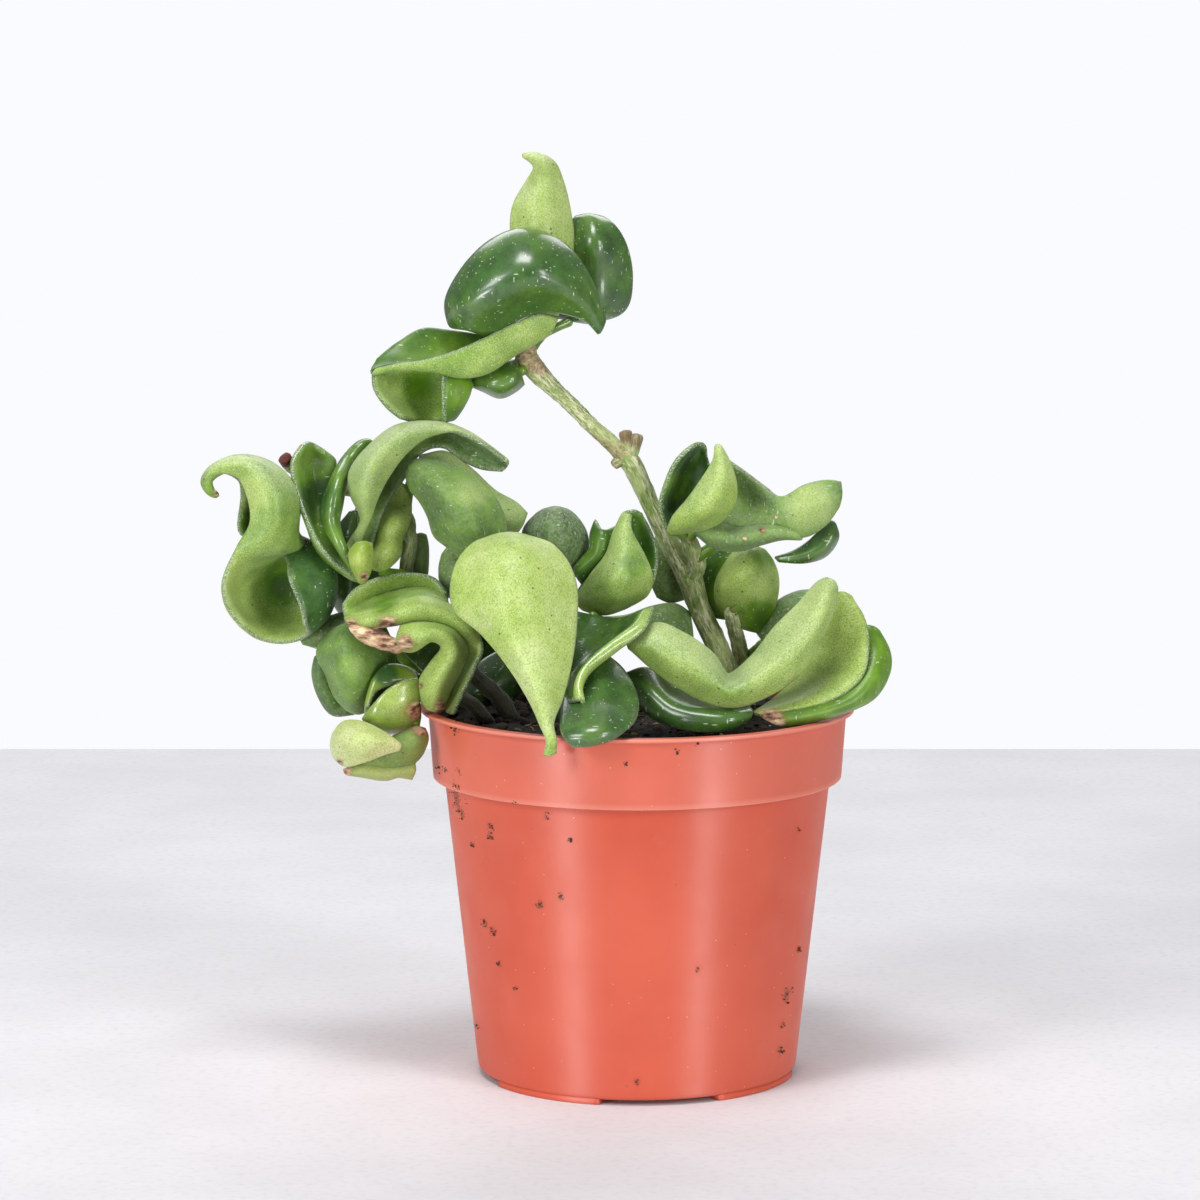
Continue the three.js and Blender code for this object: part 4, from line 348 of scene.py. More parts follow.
LEFT_LEAVES = [
    ("left_hooked", "light", [(-85, 163.5, 7), (-85.5, 152, 9), (-87, 142, 7)], (2, 3), [(DOWN, [
        [(-109, 124.5, -17), (-104, 121, -13), (-98, 119.9, -10), (-94, 120.7, -9), (-91.3, 122.5, -12),
         (-91.7, 125, -18)],
        [(-113, 130, -19), (-109.5, 129, -8), (-101, 128, 0), (-91, 128, 0), (-85.3, 129, -9),
         (-92.8, 129.5, -18.5)],
        [(-114.2, 136, -19), (-110, 137, -8), (-101, 137, 1), (-90, 137, 2), (-83.7, 137, -8),
         (-96, 137.5, -16.5)],
        [(-112, 143.5, -18), (-107, 143.7, -15), (-101.5, 143.6, -8), (-92, 144, 1), (-85, 144, -5),
         (-97.3, 144, -9)],
        [(-110, 147.5, -17.5), (-103, 147, -19), (-95.7, 147, -12), (-92, 148, -3), (-93, 149, -3),
         (-104, 148, -5)],
        [(-106.6, 153.5, -17), (-100.5, 153, -20.5), (-94, 153.5, -12), (-97, 153, -4), (-104, 152, -4),
         (-109.6, 150.5, -9)],
        [(-107.4, 161, -16), (-101, 162, -20.5), (-94, 161, -12), (-97, 163, -5), (-104, 162, -4),
         (-109, 161, -8)],
        [(-110, 166, -15), (-106, 169, -18), (-99.7, 168.6, -12), (-102, 168.5, -6), (-106, 167, -5),
         (-109.6, 165, -9)],
        [(-114, 167, -15), (-113.3, 169.6, -16), (-110, 171.3, -12), (-111, 170, -8), (-112, 168.7, -7),
         (-113.8, 167.2, -9)],
        [(-116.6, 165.2, -15), (-117.6, 167, -15.5), (-118, 167.2, -12), (-118, 166.5, -10),
         (-117.7, 165.8, -9.5), (-116.8, 165.3, -11)],
        [(-116.5, 163.2, -14.5), (-117.6, 162.3, -15), (-119, 164, -13.3), (-118.8, 164, -12),
         (-118.2, 163.7, -11.3), (-117.2, 163.4, -12)],
        [(-115, 160.9, -14), (-115.3, 160.6, -14.2), (-115.8, 160.7, -13.5), (-115.8, 161, -12.9),
         (-115.5, 161.2, -12.8), (-115.2, 161.1, -13)],
    ])]),
    ("left_boat", "dark", [(-75, 161, 5), (-76, 151, 2), (-76.5, 142, -5)], (0, 1), [(UP, [
        [(-77.5, 138.5, -11), (-76.7, 137.3, -9.5), (-75.9, 138.5, -8)],
        [(-84, 143, -13), (-82, 140.8, -8), (-79.5, 144, -3)],
        [(-88, 148, -14), (-87, 145.5, -7), (-83, 150, -1)],
        [(-91.3, 155, -14), (-89, 152, -3), (-84, 157, 0)],
        [(-94, 163, -13), (-89.5, 162, -1), (-84, 165, 0)],
        [(-94.9, 170, -10), (-90, 171, 0), (-82.7, 170.5, 0)],
        [(-92, 175, -6), (-90, 175.8, -3), (-86.3, 173.7, -1)],
    ]), (UP, [
        [(-77.4, 138.6, -12), (-76.6, 137.5, -10.6), (-75.8, 138.7, -9.2)],
        [(-83, 147, -14), (-81.2, 146, -16.5), (-79.8, 145, -14)],
        [(-86.5, 153.5, -10), (-84.2, 154, -15), (-82.2, 153, -11)],
        [(-86.5, 158.5, -9), (-83.7, 159, -15), (-81.4, 158, -10)],
        [(-84, 165, -5), (-82, 165.5, -11), (-80, 165, -5)],
        [(-81, 171, 1), (-79, 170.7, -3), (-77.3, 170, 1)],
        [(-76.5, 175.3, 4), (-75.3, 175, 0), (-73.7, 174, 4)],
        [(-73, 176, 4), (-72.8, 175.7, 2.5), (-72.2, 175, 4)],
    ])]),
    ("left_arching", "light", [(-62.5, 148, -2), (-69, 145, -3)], (0, 3), [(UP, [
        [(-76.5, 141, -8), (-77.5, 141, -8.5), (-78.5, 142, -7), (-76, 141.5, -5), (-74, 141.5, -5)],
        [(-76.4, 146.5, -9.5), (-78, 146.7, -9.8), (-79.3, 146, -7.5), (-75.5, 147, -4),
         (-72.4, 148.4, -5)],
        [(-73.6, 154, -13), (-74.6, 154, -13.5), (-75.4, 154.2, -9.5), (-73.4, 154.5, -6),
         (-70.6, 154.5, -6)],
        [(-71.6, 160, -14), (-75, 161, -18), (-78, 161, -9), (-72.5, 160.5, -3), (-68.2, 159.5, -4)],
        [(-68.2, 166.3, -14), (-73.5, 168, -18.5), (-78.4, 166.8, -8), (-70, 167, -2), (-64, 165.5, -4)],
        [(-63.2, 172.8, -14), (-69, 174.3, -18), (-73.2, 173.8, -8), (-66, 173, -2), (-60.8, 171, -4)],
        [(-57.5, 177, -13.5), (-62, 178.8, -16), (-65.7, 179.6, -8), (-60, 177.3, -1.5),
         (-57.3, 173.6, -4)],
        [(-50.5, 178.3, -12), (-52.7, 179.6, -12), (-54.6, 180.1, -7.5), (-53.5, 177.5, -2),
         (-53, 174, -5)],
        [(-46, 177, -11), (-46.4, 177.4, -10.5), (-46.6, 177.6, -7.5), (-47.5, 174.5, -3.5),
         (-48.3, 170.6, -6)],
        [(-41.8, 175.2, -10), (-41.8, 174.6, -9.5), (-41.8, 174.5, -7), (-42.2, 172, -4.5),
         (-43, 168.2, -7)],
        [(-36, 170.2, -9), (-35.6, 170, -9), (-35.4, 169.6, -8), (-36, 168.6, -7), (-37.2, 167.6, -7.5)],
    ])]),
    ("left_bud", "light", [(-76.3, 143.5, -8)], (2, 1), [(UP, [
        [(-76.4, 136.9, -16.5), (-75.9, 136.6, -17.3), (-75.5, 136.9, -16.5)],
        [(-77.9, 139.6, -16.8), (-75.9, 139.3, -20), (-73.9, 139.6, -16.8)],
        [(-79.1, 142.6, -16.8), (-76, 142.4, -21.2), (-73.1, 142.6, -16.8)],
        [(-79.2, 145.3, -16.8), (-76, 145.4, -20.5), (-73, 145.2, -16.8)],
        [(-77, 147.8, -16.5), (-75, 148.2, -18), (-73.2, 147.9, -16.5)],
    ])]),
    ("left_yellow", "light", [(-63.5, 139, -2), (-66.5, 139.3, -6)], (0, 1), [(DOWN, [
        [(-73, 140.2, -9), (-71, 139.9, -10), (-69, 141, -8)],
        [(-73, 144, -7), (-69.3, 143.7, -11), (-65.4, 144.6, -5)],
        [(-72.5, 148.3, -2), (-68.5, 148.2, -7.5), (-64.6, 148.8, -5)],
        [(-72, 153.5, -1), (-67.3, 153.5, -7.5), (-62.6, 153.7, -4.5)],
        [(-71, 159, -0.5), (-66.3, 159, -1.8), (-62.1, 158.8, -1.5)],
        [(-68, 164.5, 0), (-65.8, 165, -0.5), (-63.9, 163.9, 0)],
    ])]),
    ("left_dusty", "dusty", [(-37.5, 145.5, -9), (-41, 142, -12)], (0, 1), [(UP, [
        [(-46, 141, -14), (-43, 141, -16), (-40, 141, -14)],
        [(-52.5, 147, -12), (-45, 148, -22), (-36, 148, -14)],
        [(-56, 150, -11.5), (-46.5, 151.5, -24), (-36, 151.5, -14)],
        [(-57.5, 155, -11), (-49, 157.5, -25), (-37.5, 157.5, -13)],
        [(-59.7, 159.3, -10), (-53, 163, -23), (-42, 163.7, -12)],
        [(-62.3, 162.5, -9), (-57, 167, -18), (-48.7, 168.4, -11)],
        [(-63.7, 166.5, -9), (-62, 170, -11), (-58, 171.3, -9)],
    ])]),
    ("left_strip", "dusty", [(-64, 155, 0), (-62.5, 164, 0)], (0, 2), [(UP, [
        [(-60, 172, -6), (-60, 171, -5), (-60, 169.5, -3)],
        [(-53, 173.3, -5), (-53, 170, -6), (-53, 166, -2)],
        [(-46, 168.9, -5), (-46.5, 164, -7), (-47, 158, -1)],
        [(-39, 162.4, -5), (-41, 156, -9), (-43, 150, -2)],
        [(-33.5, 159.2, -5), (-35, 154, -9), (-37, 149, -3)],
        [(-30.2, 156, -5), (-31.3, 153.3, -6.5), (-33, 150.5, -5)],
    ])]),
    ("left_shaded", "dusty", [(-30.5, 133, -6), (-38, 134, -3)], (0, 1), [(UP, [
        [(-44, 132, -3), (-44, 136, -6), (-44, 142, -4)],
        [(-49, 131.5, -2), (-48.5, 138.5, -9), (-48, 146, -4)],
        [(-53, 134, -2), (-52.5, 140, -7), (-51.5, 147, -4)],
        [(-54.2, 139, -2), (-54.3, 141.5, -3), (-53.7, 144.5, -3)],
    ])]),
    ("left_small", "dusty", [(-59, 130, -2), (-60.5, 134.5, 2)], (0, 1), [(UP, [
        [(-61.5, 138, 3), (-60, 138, 1), (-58, 138, 3)],
        [(-62.8, 142, 3), (-60.2, 142, 0), (-57.7, 142, 3)],
        [(-61.7, 147, 3), (-59.5, 147, 1), (-57.7, 147, 3)],
        [(-61, 150.3, 3), (-59.5, 150.6, 2.4), (-58.2, 150.2, 3)],
    ])]),
    ("left_behind", "dark", [(-73.5, 160.5, 5), (-76, 157, 8)], (0, 1), [(DOWN, [
        [(-79, 156.5, 8), (-77, 157, 7), (-75, 156, 9)],
        [(-84, 150, 7), (-78.5, 150, 4), (-73, 150, 8)],
        [(-86, 141, 7), (-79, 142, 3), (-71, 142, 7)],
        [(-85, 133, 7), (-79, 133, 3), (-71, 134, 7)],
        [(-82, 128, 7), (-78.5, 127.3, 5), (-75, 129, 7)],
    ])]),
]

LOW_LEFT_LEAVES = [
    ("rolled_over_rim", "light", [(-61, 133.5, -2), (-61.5, 134.3, -3.5)], (3, 1), [(UP, [
        [(-81.3, 131, -16), (-81, 128.5, -17), (-80.3, 126.3, -19.5)],
        [(-77.5, 135.3, -13), (-77, 131, -11), (-76, 127, -20)],
        [(-70.5, 138.5, -10), (-70, 133.5, -7), (-69, 128.8, -20)],
        [(-63, 139.4, -8), (-62, 135.5, -5), (-60, 132, -19)],
        [(-56.5, 138.2, -8), (-56, 134.8, -6), (-55, 131.7, -18.5)],
        [(-52.7, 134, -11), (-52.4, 132.3, -11.5), (-52, 130.4, -18)],
    ]), (DOWN, [
        [(-81, 127, -19), (-80.5, 126, -20), (-79.5, 125.3, -20)],
        [(-76, 127.5, -19), (-75.3, 125.8, -23), (-73.5, 124.4, -21)],
        [(-69, 129.3, -19), (-68.3, 127.3, -24), (-67, 125, -21)],
        [(-60, 132.7, -18), (-59.5, 129.5, -25), (-59, 126.3, -22)],
        [(-52, 130.5, -18), (-52.5, 127.5, -25), (-53, 124.5, -22)],
        [(-46, 126.2, -19), (-47.2, 124, -25), (-48.8, 122, -21)],
        [(-42.7, 119, -23), (-44.5, 118.5, -21), (-47, 118.5, -18)],
        [(-45, 113, -23), (-46.5, 112.7, -19), (-48.5, 112.5, -16)],
        [(-48.5, 105.5, -22), (-50, 105.3, -18), (-52, 105, -15)],
        [(-50.8, 100, -20), (-51.7, 100, -18), (-52.7, 100.5, -16)],
    ]), (DOWN, [
        [(-65.5, 124.7, -23), (-66.5, 121.5, -26), (-66, 118, -23)],
        [(-61, 125.6, -23), (-61, 121.8, -29), (-62, 117.7, -24)],
        [(-55, 125, -23), (-55.8, 122.8, -30), (-57, 120.8, -25)],
        [(-50, 123, -22), (-51.5, 121, -30), (-54, 119.5, -24)],
        [(-47.3, 118.5, -21), (-50.5, 117.5, -29), (-54.3, 118, -23)],
        [(-48.7, 113.2, -19), (-52, 114, -28), (-57, 114.5, -21)],
        [(-51, 108.5, -17), (-55, 108.5, -27), (-60.3, 109, -19)],
        [(-53, 103.8, -16), (-56, 104, -24), (-60, 104.6, -18)],
        [(-54.3, 101.2, -16), (-56, 101, -19), (-58, 101.8, -17)],
    ]), (DOWN, [
        [(-80, 125.6, -21), (-79.4, 124.6, -21.5), (-78.6, 123.8, -21)],
        [(-77, 124.8, -22), (-76.8, 123, -23.5), (-76.4, 120.9, -22)],
        [(-73, 124.3, -22), (-72.5, 121.5, -24), (-71.3, 118.3, -22.5)],
        [(-70, 123, -22.5), (-69.6, 120.8, -24), (-69.2, 117.9, -22.8)],
        [(-67.5, 121.3, -23), (-66.9, 119.4, -25), (-66.6, 117.3, -23)],
        [(-64.5, 121.5, -24), (-64.3, 119.6, -25.5), (-64.6, 118, -23.5)],
    ])]),
    ("low_round", "dusty", [(-55, 106, -7), (-61, 112, -6)], (1, 2), [(DOWN, [
        [(-84, 124, -8), (-78, 126, -11), (-70, 126, -8)],
        [(-88.5, 117.5, -8), (-80, 118.5, -18), (-67, 118, -7)],
        [(-86, 111.5, -8), (-79, 110.5, -20), (-67.5, 111, -6)],
        [(-83.5, 105, -8), (-78, 104.5, -16), (-70, 106, -6)],
        [(-80, 101.2, -8), (-77, 100.3, -10), (-74, 101.5, -8)],
    ]), (DOWN, [
        [(-88.7, 116.5, -5), (-87.5, 116, -8), (-85.5, 115, -4)],
        [(-89.6, 111.5, -4), (-87.5, 111, -8), (-83.5, 110, -3)],
        [(-88, 105, -4), (-85.5, 105.5, -8), (-81.5, 106, -3)],
        [(-84.5, 100.2, -4), (-83, 101.5, -7), (-80, 103.5, -4)],
        [(-78, 100.3, -6), (-78.5, 101.5, -8), (-77, 103, -7)],
    ])]),
    ("low_glossy", "dark", [(-60, 105.6, -10), (-60.5, 108, -10.5)], (0, 1), [(DOWN, [
        [(-60.7, 109.5, -17), (-60.7, 111, -13.5), (-60.7, 105.5, -11.5), (-60.5, 101, -15),
         (-60.5, 105, -19), (-60.7, 110.3, -20)],
        [(-64.8, 109, -17.5), (-64.8, 113, -14), (-64.3, 106, -10.5), (-63, 97, -15), (-63, 103, -22),
         (-64, 109.8, -22)],
        [(-69, 107.8, -19), (-69.3, 113.2, -16), (-68.7, 106, -13), (-67, 95.6, -16), (-67.5, 101, -24),
         (-69, 107.2, -24)],
        [(-72, 106.2, -19.5), (-72.4, 109.8, -18), (-72.3, 104, -16), (-71, 96, -17), (-72, 99, -24),
         (-73.5, 102.5, -24)],
        [(-74.2, 101.8, -20.3), (-74.6, 102, -19.6), (-75.2, 100, -19), (-75, 97.6, -19),
         (-75.5, 98, -21.5), (-76.2, 99, -21.5)],
    ])]),
    ("low_folded_end", "light",
     [(-64.5, 103.8, -12), (-69, 99, -9), (-74, 94, -13), (-79, 92, -20)], (3, 1), [(UP, [
        [(-65.7, 91.3, -27), (-65.4, 90.8, -28), (-65.9, 90.3, -27)],
        [(-70, 94.6, -26), (-70, 92.3, -31), (-70.5, 88.7, -28)],
        [(-76, 97.8, -25), (-76, 92.5, -33), (-76, 86.5, -28)],
        [(-81, 98, -21), (-81.3, 92, -29), (-80.5, 85.4, -24)],
        [(-84, 94.5, -17), (-84.6, 91, -20), (-83.5, 87.5, -19)],
    ])]),
    ("low_brown", "dusty", [(-62, 105, -11), (-61, 101, -13)], (3, 0), [(UP, [
        [(-76, 88, -21), (-76, 87, -23), (-77, 85.8, -22)],
        [(-71, 92, -20), (-71, 89, -25), (-71, 85, -22)],
        [(-66, 94.5, -20), (-66, 90.5, -26), (-66, 85.2, -22)],
        [(-61.5, 96.5, -18), (-61.5, 92, -24), (-62, 86.3, -21)],
        [(-58.7, 96, -17), (-58, 93.5, -19), (-59.5, 89, -20)],
    ]), (DOWN, [
        [(-81.5, 84.4, -20.5), (-81.3, 84, -21), (-81, 83.7, -20)],
        [(-76, 86.3, -21.5), (-76, 84.3, -23.5), (-76, 82.8, -19.5)],
        [(-70, 85.6, -21.8), (-70, 83.5, -23.5), (-69.5, 81.9, -19.5)],
        [(-66, 85.6, -21.8), (-66, 84, -23), (-66.7, 82.8, -19.5)],
        [(-61.5, 86.6, -20.8), (-61.3, 84.5, -21.5), (-62.3, 81.9, -18.5)],
    ])]),
    ("low_dark", "dusty", [(-61, 132, -2), (-68, 128, 0)], (0, 1), [(DOWN, [
        [(-75, 129, -2), (-75, 125, -6), (-76, 120, -2)],
        [(-81, 128.5, -2), (-81.5, 124, -6), (-82, 118, -2)],
        [(-87, 126.5, -3), (-87, 123, -6), (-87.5, 118.3, -3)],
        [(-93, 121.3, -4), (-93, 120.6, -5), (-92.5, 119.9, -4)],
    ])]),
]

CENTRE_LEAVES = [
    ("centre_large", "light", [(-37, 145.5, -9), (-36, 147, -13)], (0, 1), [(UP, [
        [(-42, 144, -20), (-35, 145.3, -18), (-27, 143.3, -20)],
        [(-45.3, 147.2, -29), (-35, 149.8, -27), (-23.5, 147, -29)],
        [(-49.7, 142.6, -33), (-35, 146, -39), (-19, 142.4, -33)],
        [(-51.6, 135.5, -35), (-35, 138.5, -45.5), (-16.7, 136, -35)],
        [(-50.6, 129, -38), (-34, 129, -49), (-16.5, 128, -38)],
        [(-43.7, 123.2, -42.5), (-31.5, 120.5, -52), (-17.2, 119.5, -43)],
        [(-35.8, 113.8, -48.5), (-28, 110.5, -56), (-18.8, 111, -48.5)],
        [(-29.8, 104.3, -53.5), (-26.2, 102.5, -58.8), (-21, 103.5, -53.5)],
        [(-26.7, 97.4, -58), (-25.2, 96.8, -60.3), (-23.2, 97.3, -58.5)],
        [(-25.2, 92.6, -60.2), (-23.8, 92.4, -61), (-22.3, 92.2, -60.4)],
        [(-26.1, 88.5, -60.6), (-24.6, 88.2, -61), (-22.4, 89, -60.6)],
    ])]),
    ("centre_round", "dark", [(-14.5, 112, -3), (-12.5, 117, -18)], (0, 1), [(DOWN, [
        [(-14, 116.5, -28), (-11.5, 117, -29), (-9, 117, -28)],
        [(-18, 111.5, -35), (-11, 112.3, -38), (-4, 112.7, -33)],
        [(-20.5, 105, -43), (-11, 106, -47.5), (-0.5, 107, -41)],
        [(-21.5, 99, -53.5), (-11, 99, -58.5), (0.4, 101, -51)],
        [(-20.8, 94, -61.5), (-12, 94, -64), (-2, 96.3, -59)],
        [(-18, 90.8, -62.5), (-13, 91, -63.5), (-7.5, 92.5, -62)],
    ])]),
    ("centre_lime_edge", "dark", [(-12.5, 125, -4), (-13, 126.5, -12)], (0, 1), [(DOWN, [
        [(-17, 128.8, -21), (-12, 127.7, -19), (-5, 126.8, -23), (2.3, 129.2, -33), (4.7, 129.9, -34)],
        [(-19.5, 123.2, -27), (-13, 122.2, -25), (-5, 121.8, -31), (-0.5, 124.3, -38.5),
         (1.7, 123.2, -39.5)],
        [(-21, 117.5, -34), (-15.5, 117.5, -33), (-10.5, 117.7, -36), (-7, 119.3, -42), (-6, 117.3, -41.5)],
        [(-21, 111, -40), (-18.5, 111, -40), (-16, 111.5, -42.5), (-14, 113.2, -46), (-13.3, 111.5, -44.5)],
        [(-20.5, 106.5, -46), (-19, 106.3, -46.5), (-17.5, 106.8, -48), (-16.2, 108, -50),
         (-15.4, 107, -49)],
        [(-19, 103.6, -50.5), (-18, 103.4, -51), (-16.8, 103.6, -52), (-15.5, 103.8, -53),
         (-14.7, 102.9, -52.7)],
    ])]),
    ("centre_twisted", "light", [(-10.8, 130.5, -5), (-10, 130.3, -7)], (5, 1), [(UP, [
        [(1.2, 156.2, -6), (-0.6, 157, -7), (-3, 156.5, -9), (-2.5, 156, -11.5), (-1.6, 155.3, -11.5)],
        [(3.5, 152, -5), (-0.5, 152, -4.5), (-5.4, 151.5, -8), (-4, 151.5, -14), (-1.5, 151.6, -14)],
        [(5.3, 147, -4.5), (0, 145, -3), (-8.5, 144, -8), (-4, 144.5, -18.5), (1.9, 144.7, -15)],
        [(5.3, 140, -6), (0, 138, -3), (-13, 138, -8), (-5, 138.5, -23.5), (4.2, 138.5, -16)],
        [(2.5, 134, -8), (-3, 132.5, -5), (-16, 133, -9), (-7, 132.7, -22), (3.2, 134, -15)],
        [(-5, 130.6, -10), (-9, 129.5, -9), (-15, 129.3, -10), (-9, 128, -15), (-3.5, 130, -13)],
    ]), (DOWN, [
        [(-11.5, 154.3, -6), (-9.5, 151.5, -10), (-5, 153, -5)],
        [(-12.8, 150.5, -7), (-10, 147.5, -12), (-6.2, 150.3, -7)],
        [(-12.8, 146.5, -8), (-11, 144.3, -13), (-9.3, 144.6, -9)],
        [(-15.5, 143, -9), (-14.5, 141, -13), (-13.3, 139.5, -10)],
        [(-17.5, 141, -10), (-17, 138.5, -13), (-15.5, 136.3, -11)],
    ])]),
    ("centre_dusty", "dusty", [(-32, 137.5, -6), (-27, 136.5, -3)], (0, 1), [(UP, [
        [(-24, 138, -4), (-21, 137, -6), (-17.5, 138, -4)],
        [(-30.8, 146, -3), (-22, 146, -14), (-13.6, 146, -5)],
        [(-31.5, 151, -3), (-22.5, 151.5, -14), (-14, 150.5, -5)],
        [(-28, 155.3, -3), (-22.5, 156, -10), (-17, 155, -4)],
        [(-25, 157, -3), (-22.5, 157.4, -5), (-20, 157, -3)],
    ])]),
    ("centre_behind", "dusty", [(-13.5, 121, -3), (-12, 122.5, 0)], (0, 1), [(UP, [
        [(-10, 127.3, 4), (-10, 124, 2), (-9, 121.5, 4)],
        [(-3, 127.7, 7), (-3, 124, 3), (-3, 121, 6)],
        [(4, 130.3, 9), (4, 124, 4), (4, 117.5, 8)],
        [(10.5, 131, 10), (11, 123, 5), (11, 113, 9)],
        [(14.5, 128.5, 11), (15.5, 121, 7), (15.5, 113, 11)],
    ])]),
]

